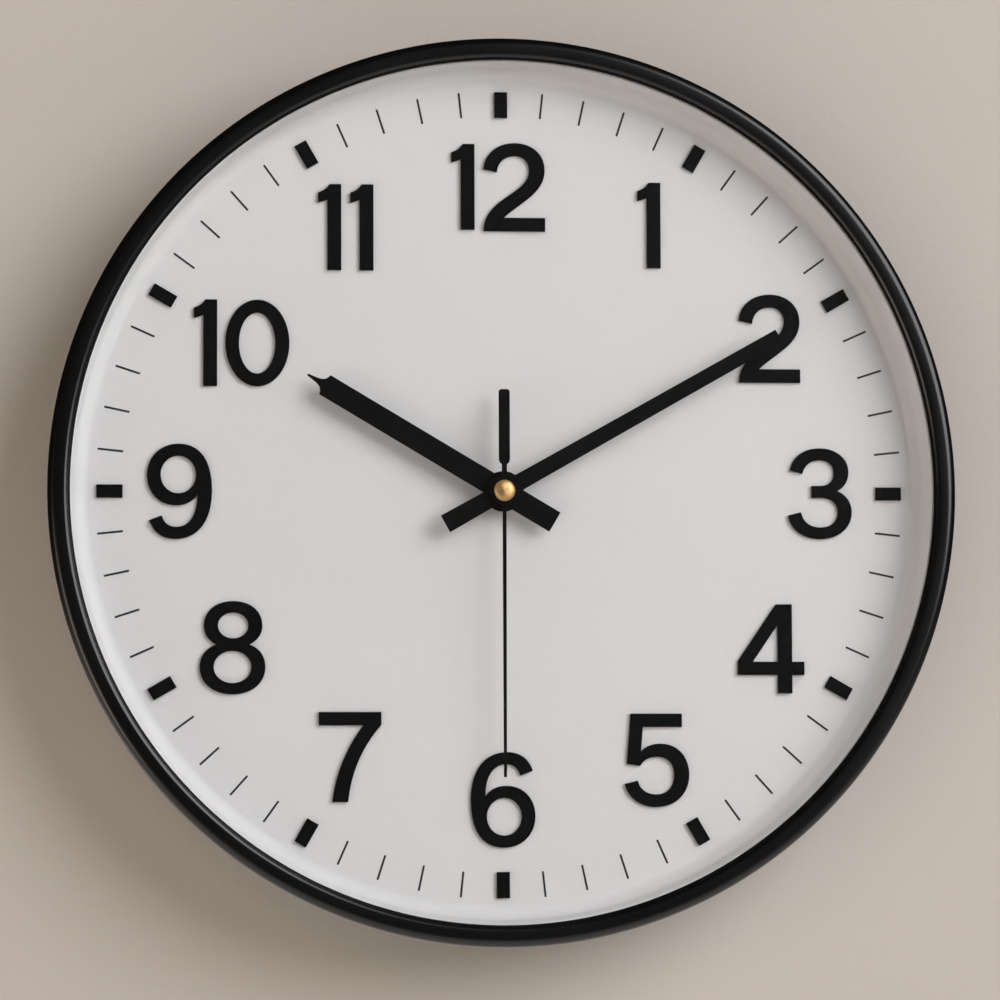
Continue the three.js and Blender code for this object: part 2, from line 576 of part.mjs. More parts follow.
const secondWheel = gear("second", SECOND_DRIVE, secondPhase)
  .add(gear("secondPinion", THIRD_DRIVE))
  .add(rod(SECOND_SHAFT, 9, SHAFT_END, CENTRE, WIRE_SIDES));
const intermediateWheel = gear("intermediate", TRAIN, intermediatePhase)
  .add(gear("intermediatePinion", SECOND_DRIVE))
  .add(rod(PIN.intermediate, PIN_FROM, PIN_TO, CENTRE, WIRE_SIDES));
const rotor = gear("rotor", TRAIN)
  .add(rod(3, 10.6, 13.1, CENTRE)) // the magnet
  .add(rod(PIN.rotor, PIN_FROM, PIN_TO, CENTRE, WIRE_SIDES));

const movement = new THREE.Group();
clock.add(movement);
piece(movement, "hour_wheel", hourWheel, gearWhite);
piece(movement, "cannon_pinion", cannonPinion, zincSteel);
piece(movement, "motion_wheel", motionWheel, gearWhite, MOTION);
piece(movement, "centre_wheel", centreWheel, gearWhite);
piece(movement, "third_wheel", thirdWheel, gearWhite, THIRD);
piece(movement, "second_wheel", secondWheel, gearWhite);
piece(movement, "intermediate_wheel", intermediateWheel, gearWhite, INTERMEDIATE);
piece(movement, "rotor", rotor, paint("#4a4c50", 0.4, 0.8), ROTOR);

// ---- Movement case: a tray open at the back, with the threaded stem -------
function movementCase() {
  const inside = CASE_HALF - CASE_WALL;
  const intoRoof = CASE_ROOF + MERGE;
  const across = [-inside - MERGE, inside + MERGE];
  const square = (half, corner) => roundedRect([-half, half], [-half, half], corner, corner);
  const notch = block([-9, 9], [CASE_FROM - 1, 13], [-CASE_HALF - 1, MERGE - inside]); // for a finger
  let tray = plate(square(CASE_HALF, CASE_CORNER), CASE_FROM, CASE_TO)
    .subtract(plate(square(inside, CASE_CORNER - 1), CASE_FROM - 1, CASE_ROOF))
    .add(block(across, [CASE_FROM, intoRoof], [WALL_Z, WALL_Z + 1]))
    .subtract(notch)
    .add(rod(STEM_RADIUS, intoRoof, STEM_TO, CENTRE, 24))
    .subtract(rod(STEM_BORE, CASE_ROOF - 1, STEM_TO + 1, CENTRE, 24))
    .add(rod(MOTION_POST, 19.5, intoRoof, MOTION, WIRE_SIDES))
    .add(rod(1.2, 19.5, intoRoof, THIRD)) // front bearing of the third wheel
    .subtract(rod(PIN.third + FIT, 19, 20.6, THIRD, WIRE_SIDES));
  for (const x of [-12.5, 16.5]) {
    for (const z of [-7.5, 18.5]) { // posts that hold the train bridge
      tray = tray.add(rod(1.2, BRIDGE_TO + FIT, intoRoof, [x, z], WIRE_SIDES));
    }
  }
  return tray;
}
piece(movement, "movement_case", movementCase(), caseBlack);

// ---- Train bridge: the inner plate that carries the front pivots ----------
let bridge = block([-14, 18], [BRIDGE_FROM, BRIDGE_TO], [-9, 20]);
for (const [place, radius] of [
  [CENTRE, SECOND_SHAFT + FIT], [THIRD, 1.5], [INTERMEDIATE, PIN.intermediate + FIT],
  [ROTOR, PIN.rotor + FIT], [KNOB, 1.3],
]) {
  bridge = bridge.subtract(rod(radius, BRIDGE_FROM - 1, BRIDGE_TO + 1, place, WIRE_SIDES));
}
piece(movement, "train_bridge", bridge, gearWhite);

// ---- Movement cover: the flat back, with the rear bearings ---------------
function movementCover() {
  const outline = roundedRect([-CASE_HALF, CASE_HALF], [WALL_Z + 0.4, CASE_HALF], 0, CASE_CORNER);
  let cover = plate(outline, BACK_FROM, BACK_TO);
  const bearings = [ // place, outer radius, front end, bore and where the bore begins
    [CENTRE, 1.2, 13.4, SECOND_SHAFT + FIT, 8.7],
    [THIRD, 1.5, 14.2, PIN.third + FIT, 9.4],
    [INTERMEDIATE, 1, 13.4, PIN.intermediate + FIT, 8.9],
    [ROTOR, 1, 10.2, PIN.rotor + FIT, 8.9],
  ];
  for (const [place, radius, to, bore, boreFrom] of bearings) {
    cover = cover
      .add(rod(radius, BACK_TO - MERGE, to, place))
      .subtract(rod(bore, boreFrom, to + 1, place, WIRE_SIDES));
  }
  const pegs = [ // that carry the stator and the board
    [-6.4, 20, STATOR_FROM], [14, 20, STATOR_FROM], [-20, -6, BOARD_FROM], [-20, 17, BOARD_FROM],
  ];
  for (const [x, z, under] of pegs) {
    cover = cover.add(rod(1, BACK_TO - MERGE, under - FIT, [x, z], WIRE_SIDES));
  }
  return cover.subtract(rod(1.3, BACK_FROM - 1, BACK_TO + 1, KNOB));
}
piece(movement, "movement_cover", movementCover(), caseBlack);

// ---- Setting knob: fluted thumb wheel, arbor and pinion -------------------
const FLUTES = 14;
const knobRim = Array.from({ length: FLUTES * 2 }, (unused, index) => {
  const angle = (index / (FLUTES * 2)) * 2 * Math.PI;
  const radius = index % 2 ? 4.5 : 5;
  return [radius * Math.cos(angle), radius * Math.sin(angle)];
});
const knob = plate(polygon(knobRim), 3.5, BACK_FROM - FIT)
  .add(rod(0.9, 6, 21.4, CENTRE))
  .add(gear("knob", TRAIN, knobPhase));
piece(movement, "setting_knob", knob, gearWhite, KNOB);

// ---- Motor: laminated stator plate, and the coil on its core --------------
const stator = plate(polygon([
  [-8, 8.6], [16, 8.6], [16, 24.5], [12, 24.5], [12, 16.8], [-4.8, 16.8], [-4.8, 24.5], [-8, 24.5],
]), STATOR_FROM, STATOR_TO).subtract(rod(3.5, STATOR_FROM - 1, STATOR_TO + 1, ROTOR, 20));
piece(movement, "stator", stator, zincSteel);

const COIL_DEPTH = STATOR_TO + FIT + COIL_CORE;
function alongX(radius, x0, x1) {
  const geometry = new THREE.CylinderGeometry(radius, radius, x1 - x0, 20);
  return solidOf(geometry.rotateZ(Math.PI / 2).translate((x0 + x1) / 2, -COIL_DEPTH, COIL_Z));
}
const coil = alongX(3.3, -4, 11) // the winding, its two cheeks and its core
  .add(alongX(3.7, -4.5, -3.7))
  .add(alongX(3.7, 10.7, 11.5))
  .add(block([-8, 16], [COIL_DEPTH - COIL_CORE, COIL_DEPTH + COIL_CORE], [COIL_Z - 1.5, COIL_Z + 1.5]));
piece(movement, "coil", coil, paint("#9c4f24", 0.35, 0.6));

// ---- Electronics ---------------------------------------------------------
const board = block([-26, -14.5], [BOARD_FROM, BOARD_TO], [-9.5, 20])
  .add(rod(2.2, BOARD_TO - 0.2, BOARD_TO + 1, [-20, 14], ROD_SIDES));
piece(movement, "circuit_board", board, paint("#2c6b3f", 0.45));
const crystal = solidOf(new THREE.CylinderGeometry(1, 1, 6, 12).rotateX(Math.PI / 2)
  .translate(-20, -(BOARD_TO + FIT + 1), 5));
piece(movement, "quartz_crystal", crystal, zincSteel);

// ---- Battery: an AA cell lying along X, and its two spring contacts -------
const SHOULDER = 24.3; // where the cell's can ends and its nub begins
const NUB_RADIUS = 2.75;
const cellProfile = [
  [0, BATTERY_FLAT], [6.9, BATTERY_FLAT], [BATTERY_RADIUS, BATTERY_FLAT + 0.4],
  [BATTERY_RADIUS, SHOULDER - 0.4], [6.9, SHOULDER], [NUB_RADIUS, SHOULDER],
  [NUB_RADIUS, BATTERY_END], [0, BATTERY_END],
].map(([radius, x]) => new THREE.Vector2(radius, x));
const cell = solidOf(new THREE.LatheGeometry(cellProfile, 24).rotateZ(-Math.PI / 2)
  .translate(0, -BATTERY_DEPTH, BATTERY_Z));
piece(movement, "battery", cell, paint("#c9a04a", 0.35, 0.4));

function contactPlate(x) {
  const across = [BATTERY_Z - CONTACT_HALF, BATTERY_Z + CONTACT_HALF];
  return block([x, x + CONTACT_SHEET], [9.5, 19.5], across);
}
class ConicalSpring extends THREE.Curve {
  getPoint(share, target = new THREE.Vector3()) {
    const angle = share * 2.5 * 2 * Math.PI;
    const radius = 4.5 - 2 * share;
    return target.set(
      share - CONTACT_X,
      radius * Math.cos(angle) - BATTERY_DEPTH,
      radius * Math.sin(angle) + BATTERY_Z,
    );
  }
}
const wire = polygon(Array.from({ length: WIRE_SIDES }, (unused, index) => {
  const angle = (index / WIRE_SIDES) * 2 * Math.PI;
  return [SPRING_WIRE * Math.cos(angle), SPRING_WIRE * Math.sin(angle)];
}));
const springSettings = { steps: 36, bevelEnabled: false, extrudePath: new ConicalSpring() };
const spring = solidOf(new THREE.ExtrudeGeometry(wire, springSettings));
const negative = contactPlate(-CONTACT_X - CONTACT_SHEET).add(spring);
piece(movement, "battery_contact_positive", contactPlate(CONTACT_X), zincSteel);
piece(movement, "battery_contact_negative", negative, zincSteel);

export default group;
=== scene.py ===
# A round battery wall clock, 300 mm across: the visible pieces, made around the fixed frame of
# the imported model. Each section makes one piece or one group of like pieces, in the order in
# which the clock goes together. Sizes are in millimetres from the clock's own axis, forward of
# the wall, and become metres in the shared frame as each piece is placed.

import math
import re

import bmesh
import bpy
from mathutils import Matrix, Vector


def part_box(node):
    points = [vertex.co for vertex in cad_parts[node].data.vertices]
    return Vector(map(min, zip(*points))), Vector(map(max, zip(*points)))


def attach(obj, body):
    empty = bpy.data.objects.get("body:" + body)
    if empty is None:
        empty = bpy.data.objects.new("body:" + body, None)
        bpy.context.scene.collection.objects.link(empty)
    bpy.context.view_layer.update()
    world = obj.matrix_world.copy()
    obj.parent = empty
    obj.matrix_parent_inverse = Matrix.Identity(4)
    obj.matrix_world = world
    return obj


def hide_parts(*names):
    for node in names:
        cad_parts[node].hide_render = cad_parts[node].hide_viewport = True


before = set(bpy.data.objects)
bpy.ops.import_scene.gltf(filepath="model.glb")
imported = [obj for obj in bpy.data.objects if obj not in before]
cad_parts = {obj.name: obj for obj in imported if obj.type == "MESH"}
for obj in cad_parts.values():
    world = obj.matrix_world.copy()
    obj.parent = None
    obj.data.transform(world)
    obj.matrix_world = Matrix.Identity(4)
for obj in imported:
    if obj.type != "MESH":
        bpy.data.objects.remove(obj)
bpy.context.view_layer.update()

# ---- Front frame --------------------------------------------------------------------------
# One moulded ring of satin black ABS. Its flat front face has a round shoulder outside and a
# small chamfer inside, and its skirt stands on the wall. Three bosses inside take the screws.
MM = 0.001
frame_low, frame_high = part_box("front_frame")
FRAME_RADIUS = (frame_high.x - frame_low.x) / 2 / MM
FRAME_DEPTH = (frame_high.y - frame_low.y) / MM
AXIS_Z = (frame_high.z + frame_low.z) / 2
CLOCK = Matrix.Translation((0, 0, AXIS_Z)) @ Matrix.Scale(MM, 4)
RING_SIDES = 360  # sides of the big round pieces
SMALL_SIDES = 64
SHARP = math.radians(32)  # edges sharper than this stay crisp
PLANE = 0.99999  # cosine of how far a face may lean and still count as square to the axis
SKIRT_INNER = 146.8
LIP_INNER = 142.6
LIP_BACK = 40.2
SHOULDER = 2.9  # radius of the rounded outer edge
BOSS_RING = 141.5
SCREW_HOURS = (2, 6, 10)


def linear(hex_colour):
    """An sRGB hex colour such as #1a1a1a as linear red, green, blue and full alpha."""
    channels = [int(hex_colour[i:i + 2], 16) / 255 for i in (1, 3, 5)]
    return [c / 12.92 if c <= 0.04045 else ((c + 0.055) / 1.055) ** 2.4 for c in channels] + [1]


def add(material, kind, inputs, **settings):
    """Adds one shader node, with values or links for its inputs, and returns it."""
    node = material.node_tree.nodes.new("ShaderNode" + kind)
    for name, value in settings.items():
        setattr(node, name, value)
    for name, value in inputs.items():
        if isinstance(value, bpy.types.NodeSocket):
            material.node_tree.links.new(value, node.inputs[name])
        else:
            node.inputs[name].default_value = value
    return node


def surface(name, finish):
    """A Principled material with its fixed values, and its shader."""
    material = bpy.data.materials.new(name)
    material.use_nodes = True
    shader = material.node_tree.nodes["Principled BSDF"]
    for socket, value in finish.items():
        shader.inputs[socket].default_value = value
    return material, shader


def pattern(material, size_mm, stretch=(1, 1, 1), **inputs):
    """A noise texture whose features are size_mm across on the piece."""
    where = add(material, "TexCoord", {}).outputs["Object"]
    scale = [factor / (size_mm * MM) for factor in stretch]
    mapped = add(material, "Mapping", {"Vector": where, "Scale": scale})
    return add(material, "TexNoise", {"Vector": mapped.outputs["Vector"], "Scale": 1, **inputs})


def spread(material, source, low, high):
    """Maps a pattern from 0..1 to a range."""
    mapped = add(material, "MapRange", {"Value": source, "To Min": low, "To Max": high})
    return mapped.outputs["Result"]


def blend_colours(material, factor, first, second):
    """Two hex colours mixed by a pattern."""
    mix = add(material, "Mix", {0: factor, 6: linear(first), 7: linear(second)}, data_type="RGBA")
    return mix.outputs[2]


def connect(material, shader, links, heights):
    """Links patterns to the shader's sockets, and (height, depth in mm) pairs to its bump."""
    for socket, source in links.items():
        material.node_tree.links.new(source, shader.inputs[socket])
    normal = None
    for height, depth in heights:
        inputs = {"Height": height, "Distance": depth * MM, "Strength": 1}
        if normal:
            inputs["Normal"] = normal
        normal = add(material, "Bump", inputs).outputs["Normal"]
    if normal:
        material.node_tree.links.new(normal, shader.inputs["Normal"])
    return material


def moulded_plastic(name, colour, bloom, roughness, grain_mm, grain_depth, **finish):
    """Injection-moulded plastic: spark-eroded grain, slow flow marks and a little handling bloom.
    The grain of a real mould is 0.05 to 0.1 mm, too fine to show, so it is drawn coarser."""
    material, shader = surface(name, {"IOR": 1.53, **finish})
    grain = pattern(material, grain_mm, Detail=3, Roughness=0.6)
    flow = pattern(material, 45, Detail=2, Roughness=0.5)
    tint = blend_colours(material, spread(material, flow.outputs["Fac"], 0, 0.8), colour, bloom)
    rough = add(material, "Math", {
        0: spread(material, flow.outputs["Fac"], roughness - 0.05, roughness + 0.05),
        1: spread(material, grain.outputs["Fac"], -0.03, 0.03),
    }, operation="ADD")
    links = {"Base Color": tint, "Roughness": rough.outputs["Value"]}
    return connect(material, shader, links, [(grain.outputs["Fac"], grain_depth)])


def arc(centre, radii, start, end, steps):
    """Points of an elliptical arc, in degrees from +radius towards the front."""
    turns = [math.radians(start + (end - start) * step / steps) for step in range(steps + 1)]
    return [(centre[0] + radii[0] * math.cos(t), centre[1] + radii[1] * math.sin(t)) for t in turns]


def turned(profile, sides=RING_SIDES):
    """A solid of revolution about the clock's axis. The profile is (radius, forward) points that
    close on themselves, or run from the axis to the axis."""
    bm = bmesh.new()
    rings = []
    for radius, forward in profile:
        count = 1 if radius == 0 else sides
        turns = [2 * math.pi * side / sides for side in range(count)]
        rings.append([bm.verts.new((radius * math.cos(t), -forward, radius * math.sin(t))) for t in turns])
    pairs = list(zip(rings, rings[1:]))
    if profile[0][0] > 0:
        pairs.append((rings[-1], rings[0]))
    for near, far in pairs:
        for side in range(sides):
            after = (side + 1) % sides
            corners = [near[side % len(near)], near[after % len(near)]]
            corners += [far[after % len(far)], far[side % len(far)]]
            corners = list(dict.fromkeys(corners))
            if len(corners) > 2:
                bm.faces.new(corners)
    bmesh.ops.recalc_face_normals(bm, faces=bm.faces)
    return bm


def join(*solids):
    """Several solids as one mesh."""
    whole = bmesh.new()
    for bm in solids:
        part = bpy.data.meshes.new("part")
        bm.to_mesh(part)
        bm.free()
        whole.from_mesh(part)
        bpy.data.meshes.remove(part)
    return whole


def place(name, bm, material, body, slot, *nodes, turn=0):
    """Sets a finished mesh in the clock, turned about its axis, and ties it to its CAD body."""
    bm.transform(CLOCK @ Matrix.Rotation(turn, 4, "Y"))
    mesh = bpy.data.meshes.new(name)
    bm.to_mesh(mesh)
    bm.free()
    mesh.shade_smooth()
    mesh.set_sharp_from_angle(angle=SHARP)
    # A face square to the clock's axis keeps one normal up to its edge, so it shades as a plane.
    for face in mesh.polygons:
        face.use_smooth = abs(face.normal.y) < PLANE
    mesh.materials.append(material)
    piece = bpy.data.objects.new(name, mesh)
    bpy.context.scene.collection.objects.link(piece)
    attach(piece, body)
    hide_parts(*nodes)
    return piece


def on_dial(radius, hour):
    """X and Z of a point on a clock hour's line."""
    angle = math.radians(hour * 30)
    return radius * math.sin(angle), radius * math.cos(angle)


def upright(bm, x, z):
    """Moves a solid made on the clock's axis to another place on the dial."""
    bm.transform(Matrix.Translation((x, 0, z)))
    return bm


frame_profile = [
    (148.4, 0.35), (148.75, 0), (149.4, 12), (149.8, 28),
    *arc((FRAME_RADIUS - SHOULDER, FRAME_DEPTH - SHOULDER), (SHOULDER, SHOULDER), 0, 90, 14),
    (144.7, FRAME_DEPTH - 0.03), (144.45, FRAME_DEPTH - 0.07), (143.75, FRAME_DEPTH - 0.38),
    (143.5, FRAME_DEPTH - 0.6), (143.25, 40.55), (LIP_INNER, 40.45), (LIP_INNER, LIP_BACK),
    (SKIRT_INNER, LIP_BACK), (SKIRT_INNER, 0.35), (SKIRT_INNER + 0.3, 0),
]
satin_black_abs = moulded_plastic(
    "satin_black_abs", "#060607", "#0b0b0c", roughness=0.25, grain_mm=0.7, grain_depth=0.003,
)
screw_places = [on_dial(BOSS_RING, hour) for hour in SCREW_HOURS]
boss_profile = [(3.2, 4.8), (3.2, 22), (1.7, 22), (1.7, 4.8)]
bosses = [upright(turned(boss_profile, SMALL_SIDES), x, z) for x, z in screw_places]
bezel = place("front_bezel", join(turned(frame_profile), *bosses), satin_black_abs,
              "case", "satin_black_abs", "front_frame")

# ---- Cover lens ---------------------------------------------------------------------------
# A flat disc of clear float glass, 1.7 mm thick with a ground edge, held behind the frame's
# lip. Square on it is almost invisible, and it shows only as a sheen from the side.
LENS_FROM, LENS_TO, LENS_RADIUS = 38.2, 39.9, 146.4
GROUND = 0.3  # width of the ground edge


def switch(owner, output, factor, shader, other):
    """Puts the other shader on the output where the factor is 1, and the shader elsewhere."""
    mix = add(owner, "MixShader", {0: factor, 1: shader.outputs[0], 2: other.outputs[0]})
    owner.node_tree.links.new(mix.outputs[0], owner.node_tree.nodes[output].inputs["Surface"])
    return owner


def clear_glass():
    material, shader = surface("clear_float_glass", {
        "Base Color": linear("#ffffff"), "Roughness": 0.0, "IOR": 1.5, "Transmission Weight": 1,
    })
    # Light goes straight through the pane, so it casts no dark shadow on the dial.
    path = add(material, "LightPath", {})
    clear = add(material, "BsdfTransparent", {"Color": linear("#f6f6f6")})
    return switch(material, "Material Output", path.outputs["Is Shadow Ray"], shader, clear)


lens_profile = [
    (0, LENS_TO), (LENS_RADIUS - GROUND, LENS_TO), (LENS_RADIUS, LENS_TO - GROUND),
    (LENS_RADIUS, LENS_FROM + GROUND), (LENS_RADIUS - GROUND, LENS_FROM), (0, LENS_FROM),
]
place("glass_lens", turned(lens_profile), clear_glass(), "case", "clear_lens", "cover_lens")

# ---- Dial ---------------------------------------------------------------------------------
# A white sheet pressed into a shallow dish: flat under the hands, then a concave rim that
# runs up to the glass. It is spray painted matt white, with a faint orange peel.
DIAL_FRONT = 26
DIAL_SHEET = 1.6
DIAL_FLAT = 136.5
RIM_ACROSS, RIM_DEEP = 4.8, 5.2
RIM_TOP = LENS_FROM - 0.3


def white_spray_paint():
    material, shader = surface("white_spray_paint", {"IOR": 1.5, "Specular IOR Level": 0.25})
    peel = pattern(material, 1.6, Detail=2, Roughness=0.5)
    tint = pattern(material, 60, Detail=3, Roughness=0.55)
    colour = blend_colours(material, tint.outputs["Fac"], "#dad9d8", "#dedddc")
    links = {"Base Color": colour, "Roughness": spread(material, peel.outputs["Fac"], 0.55, 0.67)}
    return connect(material, shader, links, [(peel.outputs["Fac"], 0.006)])


rim_centre = (DIAL_FLAT, DIAL_FRONT + RIM_DEEP)
dial_profile = [
    (4.3, DIAL_FRONT - DIAL_SHEET), (4.3, DIAL_FRONT),
    *arc(rim_centre, (RIM_ACROSS, RIM_DEEP), -90, 0, 24),
    *arc((142.7, RIM_TOP - 0.4), (0.4, 0.4), 180, 90, 5),
    (LENS_RADIUS, RIM_TOP), (LENS_RADIUS, RIM_TOP - 1.4), (143.9, RIM_TOP - 1.4),
    *arc(rim_centre, (RIM_ACROSS + DIAL_SHEET, RIM_DEEP + DIAL_SHEET), 0, -90, 16),
]
place("dished_dial", turned(dial_profile), white_spray_paint(),
      "case", "white_dial_paint", "dial_plate")

# ---- Minute strokes -----------------------------------------------------------------------
# Forty-eight fine strokes of black screen ink between the hour blocks. The ink stands only a
# few hundredths of a millimetre off the paint and is slightly glossier than it.
STROKE_RING = (125.9, 134.4)
STROKE_WIDTH = 0.7
INK = 0.04


def slab(x_range, forward_range, z_range):
    """A plain rectangular solid."""
    bm = bmesh.new()
    corners = [(x, -f, z) for x in x_range for f in forward_range for z in z_range]
    bmesh.ops.convex_hull(bm, input=[bm.verts.new(corner) for corner in corners])
    bmesh.ops.recalc_face_normals(bm, faces=bm.faces)
    return bm


def screen_ink():
    material, shader = surface("black_screen_ink", {"IOR": 1.5})
    # The mesh of a printing screen is about 0.1 mm, drawn here at 0.25 mm so that it shows.
    mesh_print = pattern(material, 0.25, Detail=2)
    colour = blend_colours(material, mesh_print.outputs["Fac"], "#060606", "#0d0d0e")
    links = {"Base Color": colour, "Roughness": spread(material, mesh_print.outputs["Fac"], 0.35, 0.55)}
    return connect(material, shader, links, [(mesh_print.outputs["Fac"], 0.004)])


strokes = []
for minute in range(60):
    if minute % 5:
        ink = (DIAL_FRONT - INK / 2, DIAL_FRONT + INK)
        stroke = slab((-STROKE_WIDTH / 2, STROKE_WIDTH / 2), ink, STROKE_RING)
        stroke.transform(Matrix.Rotation(math.radians(minute * 6), 4, "Y"))
        strokes.append(stroke)
place("minute_strokes", join(*strokes), screen_ink(), "case", "black_mark_plastic")

# ---- Numerals and hour blocks -------------------------------------------------------------
# Raised marks cut from 1.2 mm black acrylic sheet with slightly eased edges and stuck on the
# dial. Each figure is drawn from its lower left corner with moves, lines and cubic curves.
MARK_HEIGHT = 1.2
EASED = 0.12
KAPPA = 0.5523  # handle length of a quarter circle
SIX = """M 0,15.5 C 0,5.6 3.8,0 11,0 C 17,0 21.4,4.4 21.4,10.4 C 21.4,16.3 17.4,20.4 11.8,20.4
    C 8.8,20.4 6.3,19.2 4.8,16.9 C 4.9,23.6 7.4,27.5 11.8,27.5 C 14.2,27.5 15.8,26.2 16.5,23.7
    L 20.6,25.3 C 19.4,29.2 16.4,31.5 12.1,31.5 C 4.5,31.5 0,25.5 0,15.5"""


def oval(x, z, across, up):
    """A closed oval of four quarter curves."""
    a, b = across * KAPPA, up * KAPPA
    return (f"M {x + across},{z} C {x + across},{z + b} {x + a},{z + up} {x},{z + up}"
            f" C {x - a},{z + up} {x - across},{z + b} {x - across},{z}"
            f" C {x - across},{z - b} {x - a},{z - up} {x},{z - up}"
            f" C {x + a},{z - up} {x + across},{z - b} {x + across},{z}")


FIGURES = {  # width, height, outline and holes
    "0": (21.2, 28.8, oval(10.6, 14.4, 10.6, 14.4), oval(10.5, 14.35, 6, 10.15)),
    "1": (7.7, 28.7, """M 3.1,0 L 7.7,0 L 7.7,28.7 L 3.7,28.7 C 3.2,27.6 1.8,26.4 0,25.9
        L 0,22.5 C 1,22.8 2.2,23.1 3.1,23.6 L 3.1,0"""),
    "2": (20.6, 29.6, """M 0,0 L 20.6,0 L 20.6,4.5 L 6.8,4.5 C 9.2,6.9 13.6,9.6 16.5,12.3
        C 19.2,14.9 20.5,17.3 20.5,20.6 C 20.5,26.2 16,29.6 10.5,29.6 C 4.6,29.6 0.3,26 0,20.8
        L 4.5,19.8 C 4.8,23.2 7.2,25.3 10.5,25.3 C 13.6,25.3 15.3,23.2 15.3,20.4
        C 15.3,17.8 13.6,15.8 10.6,13.5 C 6.5,10.4 0,7.4 0,0"""),
    "3": (21.4, 30.4, """M 0,7.9 C 0.6,3.2 5,0 10.8,0 C 17,0 21.4,3.8 21.4,9
        C 21.4,12.4 19.6,14.9 16.6,16.1 C 19,17.3 20.4,19.6 20.4,22.4 C 20.4,27.1 16.4,30.4 10.6,30.4
        C 5.4,30.4 1.4,27.6 0.7,22.9 L 4.9,21.9 C 5.5,24.7 7.7,26.4 10.7,26.4
        C 13.7,26.4 15.5,24.8 15.5,22.2 C 15.5,19.4 13.7,17.8 10.8,17.8 L 7.9,17.8 L 7.9,13.8 L 11,13.8
        C 14.6,13.8 16.7,12 16.7,9 C 16.7,5.9 14.4,3.9 10.7,3.9 C 7.3,3.9 4.9,5.7 4.3,9 L 0,7.9"""),
    "4": (22.3, 29.6, """M 13.4,0 L 18.2,0 L 18.2,6.1 L 22.3,6.1 L 22.3,10.5 L 18.2,10.5 L 18.2,29.6
        L 12.8,29.6 L 0,10.8 L 0,6.1 L 13.4,6.1 L 13.4,0""",
          "M 13.4,10.5 L 5,10.5 L 13.4,22.8 L 13.4,10.5"),
    "5": (21.5, 30.9, """M 0,7.7 C 1,3 5.2,0 10.6,0 C 17,0 21.5,4.5 21.5,10.7 C 21.5,16.8 17.6,21 11.9,21
        C 9.2,21 6.9,20.1 5.4,18.4 L 6.1,26.5 L 19.1,26.5 L 19.1,30.9 L 2,30.9 L 0.7,14.3 L 5.1,13.6
        C 6.2,15.6 8.2,16.6 10.8,16.6 C 14.3,16.6 16.5,14.4 16.5,10.6 C 16.5,6.7 14.2,4.2 10.6,4.2
        C 7.4,4.2 5,5.8 4.3,8.8 L 0,7.7"""),
    "6": (21.4, 31.5, SIX, oval(11.1, 10.2, 5.8, 6.2)),
    "7": (20.6, 29.6, """M 0,25.2 L 0,29.6 L 20.6,29.6 L 20.6,25.3 C 15,19 10.8,11 9.6,0 L 4.4,0
        C 5.5,9.2 9,17.7 14.6,25.2 L 0,25.2"""),
    "8": (21.6, 30.7, """M 5.5,16.4 C 1.9,15.1 0,12.4 0,8.9 C 0,3.7 4.4,0 10.8,0 C 17.2,0 21.6,3.7 21.6,8.9
        C 21.6,12.4 19.9,15.1 16.4,16.4 C 19.2,17.7 20.6,19.9 20.6,22.7 C 20.6,27.3 16.8,30.7 11,30.7
        C 5.2,30.7 1.4,27.3 1.4,22.7 C 1.4,19.9 2.7,17.7 5.5,16.4""",
          oval(11, 22.65, 5, 4.25), oval(10.8, 9, 6.2, 5.3)),
}
FIGURES["9"] = FIGURES["6"]


def straight(points):
    """A closed outline of straight lines."""
    return "M " + " L ".join(f"{x:.4f},{z:.4f}" for x, z in [*points, points[0]])


def curve_points(path):
    """A path's corners, each with the handle before it and after it. A path ends where it starts."""
    corners = []
    for letter, numbers in re.findall(r"([MLC])([^MLC]*)", path):
        values = [float(value) for value in re.split(r"[\s,]+", numbers.strip())]
        points = [Vector((x, z, 0)) for x, z in zip(values[::2], values[1::2])]
        if letter == "C":
            corners[-1][2] = points[0]
            corners.append([points[1], points[2], points[2]])
        else:
            corners.append([points[0], points[0], points[0]])
    corners[0][0] = corners.pop()[0]
    return corners


def solid_of(curve, merge):
    """A curve's surface as a mesh, its points nearer than merge made one. The curve is used up."""
    holder = bpy.data.objects.new("holder", curve)
    mesh = bpy.data.meshes.new_from_object(holder)
    bm = bmesh.new()
    bm.from_mesh(mesh)
    bpy.data.meshes.remove(mesh)
    bpy.data.objects.remove(holder)
    bpy.data.curves.remove(curve)
    bmesh.ops.remove_doubles(bm, verts=bm.verts, dist=merge)
    return bm


def cut_sheet(paths, start, end, eased=EASED, curve_steps=10):
    """A flat piece cut to an outline with holes, from one depth to another, with eased edges."""
    curve = bpy.data.curves.new("outline", "CURVE")
    curve.dimensions = "2D"
    curve.fill_mode = "BOTH"
    curve.resolution_u = curve_steps
    curve.extrude = (end - start) / 2 - eased
    curve.bevel_depth = eased
    curve.bevel_resolution = 1
    curve.offset = -eased
    for path in paths:
        corners = curve_points(path)
        spline = curve.splines.new("BEZIER")
        spline.bezier_points.add(len(corners) - 1)
        spline.use_cyclic_u = True
        for point, (before, corner, after) in zip(spline.bezier_points, corners):
            point.handle_left_type = point.handle_right_type = "FREE"
            point.handle_left, point.co, point.handle_right = before, corner, after
    bm = solid_of(curve, 0.0005)
    bmesh.ops.dissolve_degenerate(bm, edges=bm.edges, dist=0.0001)
    bmesh.ops.recalc_face_normals(bm, faces=bm.faces)
    bm.transform(Matrix.Translation((0, -(start + end) / 2, 0)) @ Matrix.Rotation(math.pi / 2, 4, "X"))
    return bm


